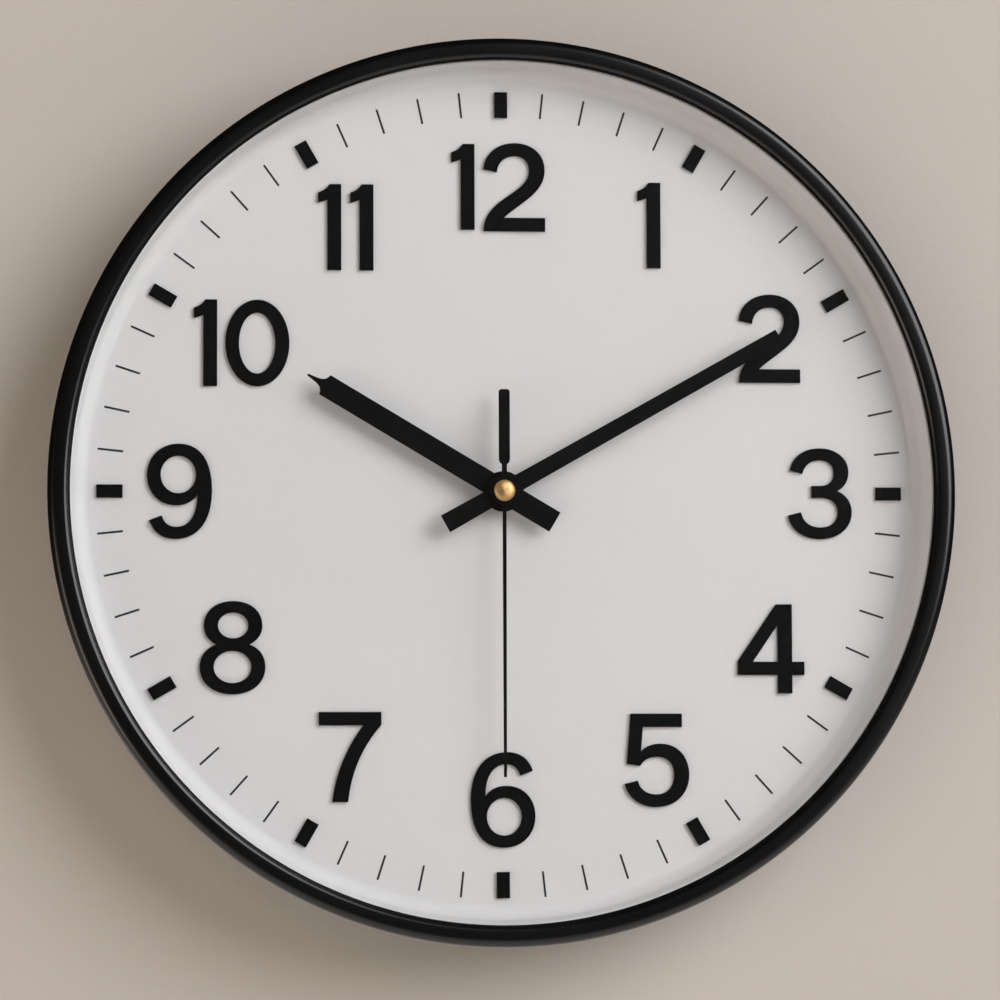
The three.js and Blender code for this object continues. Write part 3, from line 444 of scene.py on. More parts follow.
def black_acrylic():
    material, shader = surface("black_cast_acrylic", {"IOR": 1.49, "Specular IOR Level": 0.1})
    haze = pattern(material, 9, Detail=4, Roughness=0.6)
    fine = pattern(material, 0.5, Detail=2)
    colour = blend_colours(material, haze.outputs["Fac"], "#040405", "#080809")
    links = {"Base Color": colour, "Roughness": spread(material, haze.outputs["Fac"], 0.36, 0.5)}
    return connect(material, shader, links, [(fine.outputs["Fac"], 0.003)])


acrylic = black_acrylic()
FIGURE_GAP = {10: 2.7, 11: 3.0, 12: 3.0}
FLAG = 1.8  # a leading 1 is centred without this much of its flag
NUDGE = {1: (-0.9, 0.6)}  # the 1 stands a little off its hour's line
NUMERAL_RING = (102.9, 103.9, 106.6, 103.6, 102.5, 101.7, 101, 103, 106.7, 98.6, 101.8, 102.1)
for hour, radius in enumerate(NUMERAL_RING, start=1):
    digits = str(hour)
    gap = FIGURE_GAP.get(hour, 0)
    total = sum(FIGURES[digit][0] for digit in digits) + gap + (FLAG if digits[0] == "1" else 0)
    x, z = on_dial(radius, hour)
    aside, above = NUDGE.get(hour, (0, 0))
    left = x + aside - total / 2
    for digit, side in zip(digits, ("left", "right")):
        width, height, *paths = FIGURES[digit]
        figure = cut_sheet(paths, DIAL_FRONT, DIAL_FRONT + MARK_HEIGHT)
        figure.transform(Matrix.Translation((-width / 2, 0, -height / 2)))
        if digit == "9":
            figure.transform(Matrix.Rotation(math.pi, 4, "Y"))
        upright(figure, left + width / 2, z + above)
        node = f"numeral_{hour}" if len(digits) == 1 else f"numeral_{hour}_{side}"
        place(node.replace("numeral", "figure"), figure, acrylic, "case", "black_mark_plastic", node)
        left += width + gap

BLOCK_RING = 129.7
BLOCK_WIDTH, BLOCK_LENGTH = 4.3, 8.6
half, low, high = BLOCK_WIDTH / 2, BLOCK_RING - BLOCK_LENGTH / 2, BLOCK_RING + BLOCK_LENGTH / 2
block_outline = straight([(-half, low), (half, low), (half, high), (-half, high)])
for hour in range(1, 13):
    bar = cut_sheet([block_outline], DIAL_FRONT, DIAL_FRONT + MARK_HEIGHT)
    place(f"hour_bar_{hour}", bar, acrylic, "case", "black_mark_plastic", f"hour_block_{hour}",
          turn=math.radians(hour * 30))

# ---- Hands --------------------------------------------------------------------------------
# Blades stamped from 0.5 mm aluminium sheet and painted satin black, each riveted to a round
# hub that presses on its pipe. The paint pulls thin along the edges and shows a soft sheen.
HOUR_ANGLE, MINUTE_ANGLE, SECOND_ANGLE = (math.radians(degrees) for degrees in (-59.3, 60.5, 180))
BLADE_EASED = 0.1


def mirrored(right_side):
    """A closed straight-sided outline from the points of its right side, bottom to top."""
    return straight(right_side + [(-x, z) for x, z in reversed(right_side)])


def satin_black_paint():
    material, shader = surface("satin_black_paint_on_aluminium", {"IOR": 1.5, "Specular IOR Level": 0.1})
    mottle = pattern(material, 1.1, Detail=3)
    drift = pattern(material, 22, Detail=2)
    colour = blend_colours(material, drift.outputs["Fac"], "#040405", "#090909")
    links = {"Base Color": colour, "Roughness": spread(material, mottle.outputs["Fac"], 0.38, 0.52)}
    return connect(material, shader, links, [(mottle.outputs["Fac"], 0.005)])


hand_paint = satin_black_paint()


def hub(radius, bore, start, end):
    """A turned hub with a small chamfer, bored for its pipe."""
    chamfer = 0.15
    return turned([
        (bore, start), (bore, end), (radius - chamfer, end), (radius, end - chamfer),
        (radius, start + chamfer), (radius - chamfer, start),
    ], 96)


hour_outline = """M 3.7,-19.85 L 3.7,68.7 C 2.7,68.9 2.1,69.2 1.6,69.8 C 0.95,70.7 0.75,71.6 0.35,75.3
    L -0.35,75.3 C -0.75,71.6 -0.95,70.7 -1.6,69.8 C -2.1,69.2 -2.7,68.9 -3.7,68.7 L -3.7,-19.85
    L 3.7,-19.85"""
minute_outline = mirrored([(3.15, -22.3), (2.73, 12), (2.56, 50), (2.4, 105.9)])
second_outline = mirrored([
    (1.25, -33.6), (1.85, -33), (1.85, -10.2), (1.5, -9.2), (0.86, -8.8), (0.86, 0), (0.65, 4.7),
    (0.52, 94.3),
])
place("hour_blade", join(cut_sheet([hour_outline], 31.4, 31.9, BLADE_EASED), hub(6.7, 2.6, 31.2, 32.2)),
      hand_paint, "hour", "black_painted_aluminium", "hour_hand", turn=HOUR_ANGLE)
place("minute_blade", join(cut_sheet([minute_outline], 33.3, 33.8, BLADE_EASED), hub(5.9, 1.8, 33.1, 34.1)),
      hand_paint, "minute", "black_painted_aluminium", "minute_hand", turn=MINUTE_ANGLE)
place("second_blade", join(cut_sheet([second_outline], 35.0, 35.4, 0.08), hub(4.7, 0.6, 34.8, 35.5)),
      hand_paint, "second", "black_painted_aluminium", "second_hand", turn=SECOND_ANGLE)

# ---- Cap of the second hand ---------------------------------------------------------------
# A small domed cap turned from brass on a lathe and left satin. The tool's fine circles catch
# the light as a soft streak on the side of the dome that faces it.
CAP_RADIUS = 3.55
LATHE_PITCH = 0.22  # the real marks are about 0.05 mm apart, drawn wider so that they show


def turned_brass():
    material, shader = surface("satin_turned_brass", {"Metallic": 1, "Anisotropic": 0.75})
    where = add(material, "TexCoord", {}).outputs["Object"]
    rings = add(material, "TexWave", {
        "Vector": where, "Scale": 1 / (LATHE_PITCH * MM) / 20, "Distortion": 0.4, "Detail": 2,
    }, wave_type="RINGS", rings_direction="Y")
    around = add(material, "Tangent", {}, direction_type="RADIAL", axis="Y")
    stain = pattern(material, 1.8, Detail=3)
    colour = blend_colours(material, stain.outputs["Fac"], "#dda96a", "#f0cd98")
    links = {"Base Color": colour, "Roughness": spread(material, stain.outputs["Fac"], 0.46, 0.56),
             "Tangent": around.outputs["Tangent"]}
    return connect(material, shader, links, [(rings.outputs["Fac"], 0.002), (stain.outputs["Fac"], 0.003)])


brass = turned_brass()
cap_profile = [
    (0, 37.4), *arc((0, 35.9), (CAP_RADIUS, 1.5), 86, 0, 14), (CAP_RADIUS, 35.55),
    (CAP_RADIUS - 0.15, 35.5), (0.7, 35.5), (0.7, 36.6), (0, 36.6),
]
place("brass_cap", turned(cap_profile, 128), brass,
      "second", "satin_brass", "second_hand_cap", turn=SECOND_ANGLE)

# ---- Stem nut and washers -----------------------------------------------------------------
# A brass hexagon nut on a steel washer clamps the dial to the movement's threaded stem, with
# a rubber washer behind the dial. They sit under the hands and show only from the side.
NUT_FROM, NUT_TO = 27.0, 29.2


def polygon_path(radius, sides):
    turns = [2 * math.pi * side / sides for side in range(sides)]
    return straight([(radius * math.cos(t), radius * math.sin(t)) for t in turns])


def plated_steel(name, colour, roughness, line_mm):
    """Zinc-plated or rolled steel: faint drawn lines with small cloudy patches in the plating."""
    material, shader = surface(name, {"Metallic": 1})
    lines = pattern(material, line_mm, stretch=(1, 1, 0.04), Detail=2)
    cloud = pattern(material, 2.2, Detail=3)
    tint = blend_colours(material, cloud.outputs["Fac"], colour, "#d5d6d4")
    rough = spread(material, cloud.outputs["Fac"], roughness - 0.06, roughness + 0.1)
    links = {"Base Color": tint, "Roughness": rough}
    return connect(material, shader, links, [(lines.outputs["Fac"], 0.003)])


zinc = plated_steel("zinc_plated_steel", "#a9abad", 0.3, 0.3)
stem_bore = polygon_path(4.1, 48)
place("stem_nut", cut_sheet([polygon_path(6, 6), stem_bore], NUT_FROM, NUT_TO, 0.25),
      brass, "case", "satin_brass", "fixing_nut")
place("stem_washer", turned([(4.2, 26.0), (4.2, 26.7), (6.0, 26.7), (6.0, 26.0)], SMALL_SIDES),
      zinc, "case", "plated_steel", "fixing_washer")
rubber = moulded_plastic("nitrile_rubber", "#121212", "#1c1c1c", 0.75, 0.6, 0.01)
washer_profile = [(4.3, 23.4), (4.3, 24.3), (11.8, 24.3), (12, 24.1), (12, 23.6), (11.8, 23.4)]
place("sealing_washer", turned(washer_profile, SMALL_SIDES),
      rubber, "case", "washer_rubber", "rubber_washer")

# ---- Rear cover ---------------------------------------------------------------------------
# A black ABS disc inside the frame's skirt. Its square well reaches to the back of the dial
# and takes the movement, and three curved walls clamp the dial's edge. A raised bead frames
# the window and the keyhole, and it is moulded with a coarse matt grain.
COVER_RADIUS = 146.3
COVER_FROM, COVER_TO = 2.5, 4.5
WINDOW = 30.0
WELL_WALL = 1.6
BEAD_TOP = 1.7  # how near the wall the raised beads come
HOOK_RISE = -AXIS_Z / MM
KEYHOLE_DROP = 9.0
KEYHOLE_HEAD, SLOT_WIDTH = 9.5, 5.0


def circle(x, z, radius):
    return oval(x, z, radius, radius)


def rounded_square(half, corner, low=None):
    """A square outline with round corners; low moves its bottom edge."""
    bottom = -half if low is None else low
    k = corner * (1 - KAPPA)
    return (f"M {half},{bottom + corner} L {half},{half - corner}"
            f" C {half},{half - k} {half - k},{half} {half - corner},{half}"
            f" L {corner - half},{half}"
            f" C {k - half},{half} {-half},{half - k} {-half},{half - corner}"
            f" L {-half},{bottom + corner}"
            f" C {-half},{bottom + k} {k - half},{bottom} {corner - half},{bottom}"
            f" L {half - corner},{bottom}"
            f" C {half - k},{bottom} {half},{bottom + k} {half},{bottom + corner}")


def keyhole(grow=0.0):
    """The nail's way in: a round head with a slot that rises from it to the hook."""
    head, slot = KEYHOLE_HEAD / 2 + grow, SLOT_WIDTH / 2 + grow
    low = HOOK_RISE - KEYHOLE_DROP
    lean = math.acos(slot / head)
    turns = [math.pi - lean + (math.pi + 2 * lean) * step / 40 for step in range(41)]
    around = [(head * math.cos(t), low + head * math.sin(t)) for t in turns]
    top = [math.pi * step / 20 for step in range(21)]
    over = [(slot * math.cos(t), HOOK_RISE + slot * math.sin(t)) for t in top]
    return straight(around + over)


def arc_wall(inner, outer, middle, half_angle):
    """A curved wall's outline about the clock's axis, in degrees clockwise from twelve."""
    turns = [math.radians(90 - middle + half_angle * (step / 24 - 1)) for step in range(49)]
    points = [(outer * math.cos(t), outer * math.sin(t)) for t in turns]
    points += [(inner * math.cos(t), inner * math.sin(t)) for t in reversed(turns)]
    return straight(points)


cover_holes = [rounded_square(WINDOW, 0.8), keyhole(), *(circle(x, z, 1.8) for x, z in screw_places)]
well = [rounded_square(WINDOW + WELL_WALL, 1.6), rounded_square(WINDOW, 0.8)]
window_bead = [rounded_square(WINDOW + 4.2, 3.2), rounded_square(WINDOW + 2.6, 2.2)]
keyhole_bead = [keyhole(3.4), keyhole(1.9)]
cover_parts = [
    cut_sheet([circle(0, 0, COVER_RADIUS), *cover_holes], COVER_FROM, COVER_TO, 0.15, 48),
    cut_sheet(well, COVER_FROM + 0.3, 23.9, 0.2),
    cut_sheet(window_bead, BEAD_TOP, COVER_FROM + 0.2, 0.25),
    cut_sheet(keyhole_bead, BEAD_TOP, COVER_FROM + 0.2, 0.25),
    turned([(118, 2.6), (118.3, 1.9), (119.3, 1.7), (120.3, 1.9), (120.6, 2.6)]),
    turned([(131, 2.6), (131.2, 2.0), (131.9, 1.8), (132.6, 2.0), (132.8, 2.6)]),
]
for hour in SCREW_HOURS:
    clamp = arc_wall(144.2, 146.0, hour * 30 + 60, 48)
    cover_parts.append(cut_sheet([clamp], COVER_FROM + 0.5, 36.2, 0.15))
collar = [(3.5, 2.6), (3.7, 1.9), (4.2, 1.8), (4.6, 1.9), (4.8, 2.6)]
for x, z in screw_places:
    cover_parts.append(upright(turned(collar, SMALL_SIDES), x, z))
matt_black_abs = moulded_plastic(
    "matt_black_abs", "#141415", "#1e1e20", roughness=0.55, grain_mm=1.0, grain_depth=0.03,
)
place("back_shell", join(*cover_parts), matt_black_abs, "case", "black_rear_abs", "rear_cover")

# ---- Rear screws --------------------------------------------------------------------------
# Three zinc-plated pan-head screws, cold formed with a cross recess, from behind the cover
# into the frame's bosses.
HEAD_RADIUS = 3.0


def cross(arm, width):
    a, w = arm / 2, width / 2
    return straight([
        (w, -a), (w, -w), (a, -w), (a, w), (w, w), (w, a),
        (-w, a), (-w, w), (-a, w), (-a, -w), (-w, -w), (-w, -a),
    ])


for number, (x, z) in enumerate(screw_places, start=1):
    screw = join(
        cut_sheet([polygon_path(HEAD_RADIUS, 48), cross(3.2, 0.8)], 0.5, 1.4, 0.2),
        turned([(0, 1.35), (HEAD_RADIUS, 1.35), (HEAD_RADIUS, 2.2), (1.4, 2.3), (1.4, 13), (0, 14)], 32),
    )
    place(f"cover_screw_{number}", upright(screw, x, z), zinc,
          "case", "plated_steel", f"rear_screw_{number}")

# ---- Movement case ------------------------------------------------------------------------
# The 56 mm square tray of a quartz movement, moulded in black ABS: side walls, a partition
# beside the battery, a finger notch, and the threaded stem that goes through the dial.
CASE = 28.0
CASE_WALL = 1.2
CASE_FROM, CASE_ROOF, CASE_TO = 8.4, 22.0, 23.2
PARTITION = -11.4  # lower face of the wall between the works and the cell
NOTCH, NOTCH_DEEP = 9, 13.0  # half width and end of the finger notch
STEM_BORE = 2.85
thread = []
for ridge in range(11):
    depth = 23.6 + ridge * 0.65
    thread += [(3.7, depth), (4.0, depth + 0.2), (4.0, depth + 0.3), (3.7, depth + 0.5)]
stem_profile = [(STEM_BORE, 22.5), (3.9, 22.5), *thread, (3.7, 30.8), (STEM_BORE, 30.8)]
inside = CASE - CASE_WALL
# The walls' outline, from the lower right round the outside to the notch and back inside.
outer, outer_turn, inner, inner_turn = CASE - 3, CASE - 1.34, inside - 2, inside - 0.9
notched_walls = (
    f"M {CASE},{-outer} L {CASE},{outer} C {CASE},{outer_turn} {outer_turn},{CASE} {outer},{CASE}"
    f" L {-outer},{CASE} C {-outer_turn},{CASE} {-CASE},{outer_turn} {-CASE},{outer}"
    f" L {-CASE},{-outer} C {-CASE},{-outer_turn} {-outer_turn},{-CASE} {-outer},{-CASE}"
    f" L {-NOTCH},{-CASE} L {-NOTCH},{-inside} L {-inner},{-inside}"
    f" C {-inner_turn},{-inside} {-inside},{-inner_turn} {-inside},{-inner}"
    f" L {-inside},{inner} C {-inside},{inner_turn} {-inner_turn},{inside} {-inner},{inside}"
    f" L {inner},{inside} C {inner_turn},{inside} {inside},{inner_turn} {inside},{inner}"
    f" L {inside},{-inner} C {inside},{-inner_turn} {inner_turn},{-inside} {inner},{-inside}"
    f" L {NOTCH},{-inside} L {NOTCH},{-CASE} L {outer},{-CASE}"
    f" C {outer_turn},{-CASE} {CASE},{-outer_turn} {CASE},{-outer}"
)
case_parts = [
    cut_sheet([rounded_square(CASE, 3), polygon_path(STEM_BORE, 48)], CASE_ROOF, CASE_TO, 0.3),
    cut_sheet([rounded_square(CASE, 3), rounded_square(inside, 2)], NOTCH_DEEP, CASE_ROOF + 0.2, 0.05),
    cut_sheet([notched_walls], CASE_FROM, NOTCH_DEEP + 0.1, 0.12),
    slab((-inside - 0.2, inside + 0.2), (CASE_FROM, CASE_ROOF + 0.2), (PARTITION, PARTITION + 1)),
    turned(stem_profile, SMALL_SIDES),
]
movement_abs = moulded_plastic(
    "movement_black_abs", "#1b1b1d", "#242427", roughness=0.42, grain_mm=0.6, grain_depth=0.008,
)
place("movement_tray", join(*case_parts), movement_abs, "case", "movement_case_plastic", "movement_case")

# ---- Movement cover -----------------------------------------------------------------------
# The flat back of the movement, snapped on by two hooks. A raised arrow beside the knob shows
# which way to turn it, and ribs stiffen the middle.
BACK_FROM, BACK_TO = 7.0, 8.1
RAISED = (BACK_FROM - 0.35, BACK_FROM + 0.2)  # how far the arrow and ribs stand out
KNOB_X, KNOB_Z = -10.182, 10.182
arrow_turns = [math.radians(100 + 5 * step) for step in range(29)]
arrow_ring = [(7.3 * math.cos(t), 7.3 * math.sin(t)) for t in arrow_turns]
arrow_ring += [(6.5 * math.cos(t), 6.5 * math.sin(t)) for t in reversed(arrow_turns)]
arrow_bow = cut_sheet([straight(arrow_ring)], *RAISED, 0.08)
arrow_head = cut_sheet([straight([(0, 0), (2.6, -1.6), (2.6, 1.6)])], *RAISED, 0.05)
upright(arrow_head, 6.9 * math.cos(arrow_turns[0]), 6.9 * math.sin(arrow_turns[0]))
plate = [rounded_square(CASE, 3, PARTITION + 0.4), circle(KNOB_X, KNOB_Z, 1.3)]
border = [rounded_square(25.6, 2, PARTITION + 2.8), rounded_square(25, 1.6, PARTITION + 3.4)]
back_parts = [
    cut_sheet(plate, BACK_FROM, BACK_TO, 0.2),
    upright(join(arrow_bow, arrow_head), KNOB_X, KNOB_Z),
    cut_sheet(border, BACK_FROM - 0.3, BACK_FROM + 0.2, 0.08),
]
for x in (-17.0, 17.0):
    back_parts.append(slab((x - 3, x + 3), (BACK_FROM - 0.5, BACK_FROM + 0.3), (26.4, 27.7)))
for rib in range(5):
    left_edge = 4.0 + rib * 4
    back_parts.append(slab((left_edge, left_edge + 0.9), RAISED, (-4, 21)))
place("movement_back", join(*back_parts), movement_abs, "case", "movement_case_plastic", "movement_cover")

# ---- Setting knob -------------------------------------------------------------------------
# A thumb wheel moulded in white acetal with fluted edges and a dished face. Its arbor runs
# through the back to the motion work.
FLUTES = 28
KNOB_RADIUS, FLUTE_DEPTH = 4.8, 0.2  # to the middle of a flute, and how far it swings
white_acetal = moulded_plastic(
    "white_acetal", "#d9d5c8", "#e6e3d8", 0.38, 0.5, 0.004, **{"Subsurface Weight": 0.08},
)
flute_ring = []
for step in range(FLUTES * 6):
    turn = 2 * math.pi * step / (FLUTES * 6)
    radius = KNOB_RADIUS + FLUTE_DEPTH * math.cos(FLUTES * turn)
    flute_ring.append((radius * math.cos(turn), radius * math.sin(turn)))
knob_parts = [
    cut_sheet([straight(flute_ring), circle(0, 0, 3.6)], 3.5, 6.7, 0.1),
    turned([(0, 4.2), (2.2, 4.15), (3.0, 4.0), (3.7, 3.9), (3.7, 6.6), (0, 6.6)], SMALL_SIDES),
    turned([(0, 6.5), (0.9, 6.5), (0.9, 21.4), (0, 21.4)], 32),
]
place("thumb_wheel", upright(join(*knob_parts), KNOB_X, KNOB_Z), white_acetal,
      "knob", "acetal", "setting_knob")

# ---- Battery ------------------------------------------------------------------------------
# An AA cell in its bay: a steel can in a plain printed sleeve, green with a silver band at the
# positive end, shrunk over both shoulders, and the bare nub and base of the can.
CELL_Z, CELL_DEPTH = -19.1, 14.35
CELL_FLAT, CELL_NUB = -24.6, 25.9
BAND_START = 12.0  # where the silver band starts along the cell


def along_x(bm):
    """Lays a solid made on the clock's axis along X in the battery bay."""
    lay = Matrix.Translation((0, -CELL_DEPTH, CELL_Z)) @ Matrix.Rotation(math.pi / 2, 4, "Z")
    bm.transform(lay)
    return bm


def printed_sleeve():
    material, shader = surface("printed_battery_sleeve", {
        "IOR": 1.5, "Metallic": 0.35, "Coat Weight": 0.6, "Coat Roughness": 0.12,
    })
    where = add(material, "TexCoord", {}).outputs["Object"]
    along = add(material, "SeparateXYZ", {"Vector": where}).outputs["X"]
    band = add(material, "Math", {0: along, 1: BAND_START * MM}, operation="GREATER_THAN")
    speck = pattern(material, 0.8, Detail=2)
    green = blend_colours(material, speck.outputs["Fac"], "#1c5a45", "#246b53")
    silver = blend_colours(material, speck.outputs["Fac"], "#b4b8ba", "#c5c8c9")
    printed = add(material, "Mix", {0: band.outputs["Value"], 6: green, 7: silver}, data_type="RGBA")
    rough = spread(material, speck.outputs["Fac"], 0.28, 0.36)
    links = {"Base Color": printed.outputs[2], "Roughness": rough}
    return connect(material, shader, links, [(speck.outputs["Fac"], 0.004)])


sleeve = turned([
    (0, CELL_FLAT + 0.35), (6.0, CELL_FLAT + 0.35), (6.3, CELL_FLAT + 0.1),
    *arc((6.6, CELL_FLAT + 0.65), (0.65, 0.65), -90, 0, 6),
    *arc((6.4, 23.55), (0.85, 0.75), 0, 90, 6), (5.6, 24.3), (5.4, 24.0), (0, 24.0),
], 96)
nub = [
    (0, 23.9), (5.3, 23.9), (5.0, 24.3), (3.2, 24.35), (2.9, 24.6), (2.75, 25.5), (2.5, CELL_NUB),
    (0, CELL_NUB),
]
base = [
    (0, CELL_FLAT), (5.6, CELL_FLAT), (5.9, CELL_FLAT + 0.2), (5.9, CELL_FLAT + 0.5),
    (0, CELL_FLAT + 0.5),
]
ends = join(turned(nub, SMALL_SIDES), turned(base, SMALL_SIDES))
place("battery_sleeve", along_x(sleeve), printed_sleeve(), "cell", "battery_jacket", "battery")
place("battery_ends", along_x(ends), zinc, "cell", "plated_steel")

# ---- Battery contacts ---------------------------------------------------------------------
# Nickel-plated spring steel: a flat blade for the nub, and a plate with a conical spring for
# the flat end. Both are bent from strip and slotted into the bay.
nickel = plated_steel("nickel_plated_spring_steel", "#bdbab2", 0.24, 0.25)
CONTACT_X = 26.2
STRIP_THICK = 0.3
SPRING_TURNS = 2.5


def conical_spring():
    """The negative spring's wire, wound smaller towards the cell."""
    curve = bpy.data.curves.new("wire", "CURVE")
    curve.dimensions = "3D"
    curve.bevel_depth = 0.28
    curve.bevel_resolution = 4
    curve.use_fill_caps = True
    spline = curve.splines.new("POLY")
    steps = 120
    spline.points.add(steps)
    for index, point in enumerate(spline.points):
        share = index / steps
        angle = 2 * math.pi * SPRING_TURNS * share
        radius = 4.5 - 2 * share
        forward = CELL_DEPTH - radius * math.cos(angle)
        point.co = (-CONTACT_X + share, -forward, CELL_Z + radius * math.sin(angle), 1)
    bm = solid_of(curve, 0.001)
    bmesh.ops.recalc_face_normals(bm, faces=bm.faces)
    return bm


strip = ((9.5, 19.5), (CELL_Z - 5.5, CELL_Z + 5.5))  # forward and upward spans of each contact
place("nub_contact", slab((CONTACT_X, CONTACT_X + STRIP_THICK), *strip),
      nickel, "case", "plated_steel", "battery_contact_positive")
spring_plate = slab((-CONTACT_X - STRIP_THICK, -CONTACT_X), *strip)
place("spring_contact", join(spring_plate, conical_spring()),
      nickel, "case", "plated_steel", "battery_contact_negative")

# ---- Inside the movement ------------------------------------------------------------------
# The wheels, motor and electronics keep their CAD shapes. Wheels are moulded acetal, the
# cannon pinion is drawn steel, and the motor has a ferrite magnet, an iron stator and a coil.
copper = plated_steel("enamelled_copper_wire", "#9a4a22", 0.3, 0.12)
silicon_steel = plated_steel("rolled_silicon_steel", "#8d9094", 0.38, 0.4)
ferrite = moulded_plastic("sintered_ferrite", "#26272a", "#34363a", 0.5, 0.4, 0.01)
green_board = moulded_plastic("solder_masked_board", "#1f5a33", "#2a6e42", 0.35, 0.5, 0.004)
INSIDE = {
    white_acetal: ("train_bridge", "hour_wheel", "motion_wheel", "centre_wheel", "third_wheel",
                   "second_wheel", "intermediate_wheel"),
    zinc: ("cannon_pinion", "quartz_crystal"),
    ferrite: ("rotor",),
    silicon_steel: ("stator",),
    copper: ("coil",),
    green_board: ("circuit_board",),
}
for material, nodes in INSIDE.items():
    for node in nodes:
        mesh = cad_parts[node].data
        mesh.materials.clear()
        mesh.materials.append(material)

# ---- Wall and floor -----------------------------------------------------------------------
# A painted wall right behind the clock and a pale floor far below. Neither is part of it.
# Each shows only its front, so the clock can be seen from behind through the wall, and the
# wall throws no shadow, so that the rear light reaches the back.
WALL_Y = 0.0004
FLOOR_Z = -1.6
WALL_SPAN = 4.0
FLOOR_SPAN = 12.0


def studio_paint(name, colour, shade, relief_mm, lift=0):
    """Matt paint, seen from its front only. lift brightens it without lighting the clock."""
    material, shader = surface(name, {
        "Roughness": 0.9, "IOR": 1.45, "Specular IOR Level": 0.2, "Emission Color": linear(colour),
    })
    path = add(material, "LightPath", {})
    glow = add(material, "Math", {0: path.outputs["Is Camera Ray"], 1: lift}, operation="MULTIPLY")
    material.node_tree.links.new(glow.outputs["Value"], shader.inputs["Emission Strength"])
    plaster = pattern(material, relief_mm, Detail=5, Roughness=0.6)
    mottle = pattern(material, 240, Detail=3)
    connect(material, shader, {"Base Color": blend_colours(material, mottle.outputs["Fac"], colour, shade)},
            [(plaster.outputs["Fac"], 0.12)])
    side = add(material, "NewGeometry", {})
    clear = add(material, "BsdfTransparent", {})
    return switch(material, "Material Output", side.outputs["Backfacing"], shader, clear)


def sheet(name, corners, material):
    mesh = bpy.data.meshes.new(name)
    mesh.from_pydata(corners, [], [(0, 1, 2, 3)])
    mesh.materials.append(material)
    plane = bpy.data.objects.new(name, mesh)
    bpy.context.scene.collection.objects.link(plane)
    return plane


wall = sheet("wall", [(-WALL_SPAN, WALL_Y, FLOOR_Z), (WALL_SPAN, WALL_Y, FLOOR_Z),
                      (WALL_SPAN, WALL_Y, WALL_SPAN), (-WALL_SPAN, WALL_Y, WALL_SPAN)],
             studio_paint("wall_emulsion", "#d6cdc5", "#d0c7be", 3.0))
for ray in ("visible_shadow", "visible_diffuse", "visible_glossy", "visible_transmission"):
    setattr(wall, ray, False)
sheet("floor", [(-FLOOR_SPAN, -FLOOR_SPAN, FLOOR_Z), (FLOOR_SPAN, -FLOOR_SPAN, FLOOR_Z),
                (FLOOR_SPAN, FLOOR_SPAN, FLOOR_Z), (-FLOOR_SPAN, FLOOR_SPAN, FLOOR_Z)],
      studio_paint("floor_paint", "#dcd8d2", "#d4d0ca", 6.0, lift=0.4))

# ---- Light --------------------------------------------------------------------------------
# One soft key from the upper right, as a window would give, a broad warm fill, a small bounce
# from the lower left for the dial's rim, and a large soft light behind for the back of the
# clock. The room itself gives a low even light. Positions are in metres, powers in watts.
dial_centre = Vector((0, -DIAL_FRONT * MM, AXIS_Z))


def softbox(name, direction, distance, size, power, colour):
    """A round soft light, aimed at the middle of the dial."""
    light = bpy.data.lights.new(name, "AREA")
    light.shape = "DISK"
    light.size = size
    light.energy = power
    light.color = linear(colour)[:3]
    lamp = bpy.data.objects.new(name, light)
    lamp.location = dial_centre + Vector(direction).normalized() * distance
    lamp.rotation_euler = (dial_centre - lamp.location).to_track_quat("-Z", "Y").to_euler()
    bpy.context.scene.collection.objects.link(lamp)
    return lamp


softbox("key", (0.95, -1.05, 0.56), 2.4, 2.0, 45, "#fbfcff")
bounce = softbox("bounce", (-1.0, -0.7, -0.35), 2.4, 1.2, 9, "#ffeedd")
fill = softbox("fill", (-0.5, -1.0, 0.1), 2.6, 2.4, 16, "#fff0e0")
rear = softbox("rear", (-0.45, 0.85, 0.85), 5.0, 3.6, 480, "#ffffff")
fill.visible_glossy = fill.visible_transmission = False  # so the pane shows no glare from it


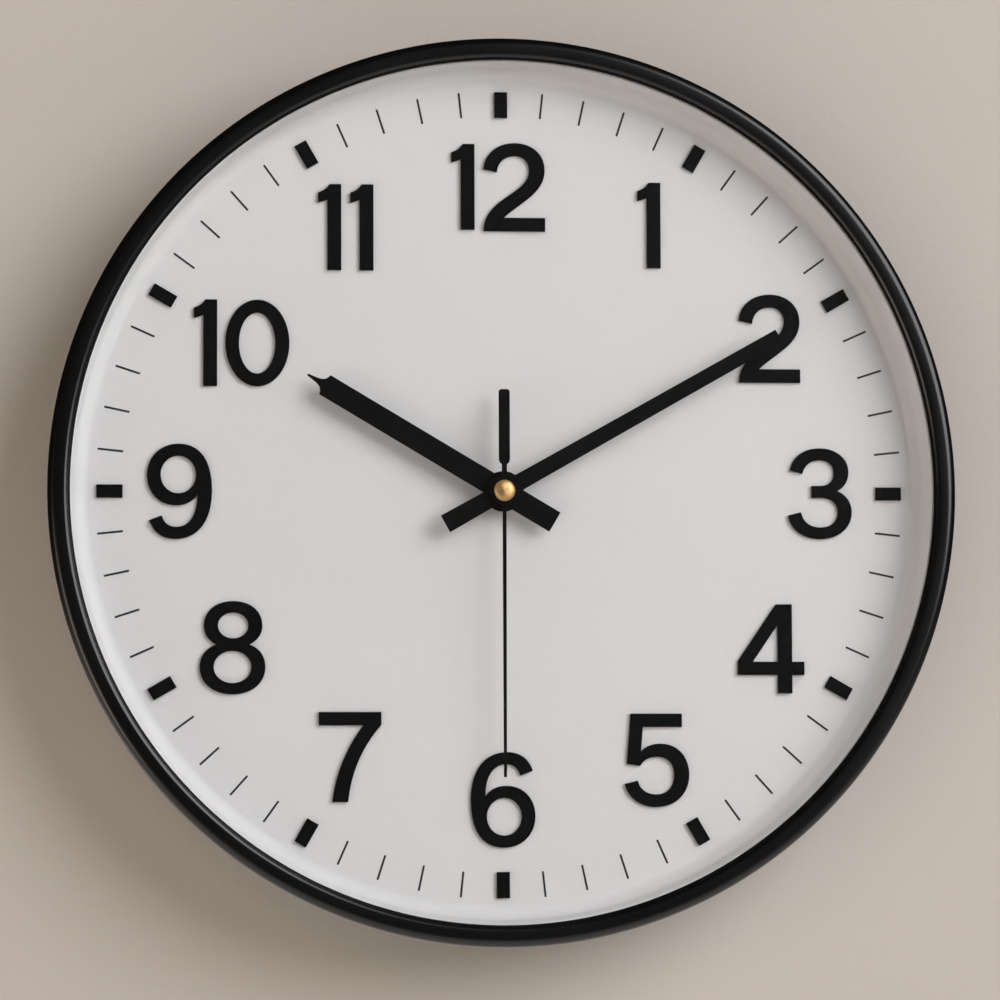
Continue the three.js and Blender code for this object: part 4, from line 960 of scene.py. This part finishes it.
def spare(lamp, piece):
    """Keeps one lamp's light off one piece."""
    unlit = bpy.data.collections.new("not_lit_by_" + lamp.name)
    unlit.objects.link(piece)
    unlit.collection_objects[0].light_linking.link_state = "EXCLUDE"
    lamp.light_linking.receiver_collection = unlit


# A real wall would hide the bezel from the rear light, and the bounce would wash out the
# clock's shadow on the wall.
spare(rear, bezel)
spare(bounce, wall)

world = bpy.data.worlds.new("room")
world.use_nodes = True
bpy.context.scene.world = world
sky = world.node_tree.nodes["Background"]
sky.inputs["Color"].default_value = linear("#dfd3c2")
sky.inputs["Strength"].default_value = 0.035
seen = add(world, "Background", {"Color": linear("#e3dfd9"), "Strength": 0.85})
path = add(world, "LightPath", {})
switch(world, "World Output", path.outputs["Is Camera Ray"], sky, seen)
bpy.context.scene.view_settings.view_transform = "Standard"

# ---- Camera -------------------------------------------------------------------------------
# Nearly square on, a little below and to the left of the clock's centre, from far enough away
# that the picture is almost free of perspective. A slight roll shares out the lean that this
# gives between the dial's upright and level lines.
CAMERA_AZIMUTH, CAMERA_ELEVATION = math.radians(-5.5), math.radians(-4.3)
CAMERA_DISTANCE = 1.45
CAMERA_ROLL = math.radians(-0.2)
VIEW_WIDTH = 0.3282  # what the picture spans at the clock's face
AIM_OFFSET = Vector((-0.0021, 0, -0.0036))
camera_data = bpy.data.cameras.new("camera")
camera = bpy.data.objects.new("camera", camera_data)
bpy.context.scene.collection.objects.link(camera)
bpy.context.scene.camera = camera
face_centre = Vector((0, -FRAME_DEPTH * MM, AXIS_Z))
aim = face_centre + AIM_OFFSET
away = Vector((
    math.sin(CAMERA_AZIMUTH) * math.cos(CAMERA_ELEVATION),
    -math.cos(CAMERA_AZIMUTH) * math.cos(CAMERA_ELEVATION),
    math.sin(CAMERA_ELEVATION),
))
camera.location = aim + away * CAMERA_DISTANCE
level = Matrix.Rotation(CAMERA_ROLL, 4, away)
camera.rotation_euler = (level @ (-away).to_track_quat("-Z", "Y").to_matrix().to_4x4()).to_euler()
camera_data.angle = 2 * math.atan(VIEW_WIDTH / 2 / CAMERA_DISTANCE)
camera_data.clip_end = 60
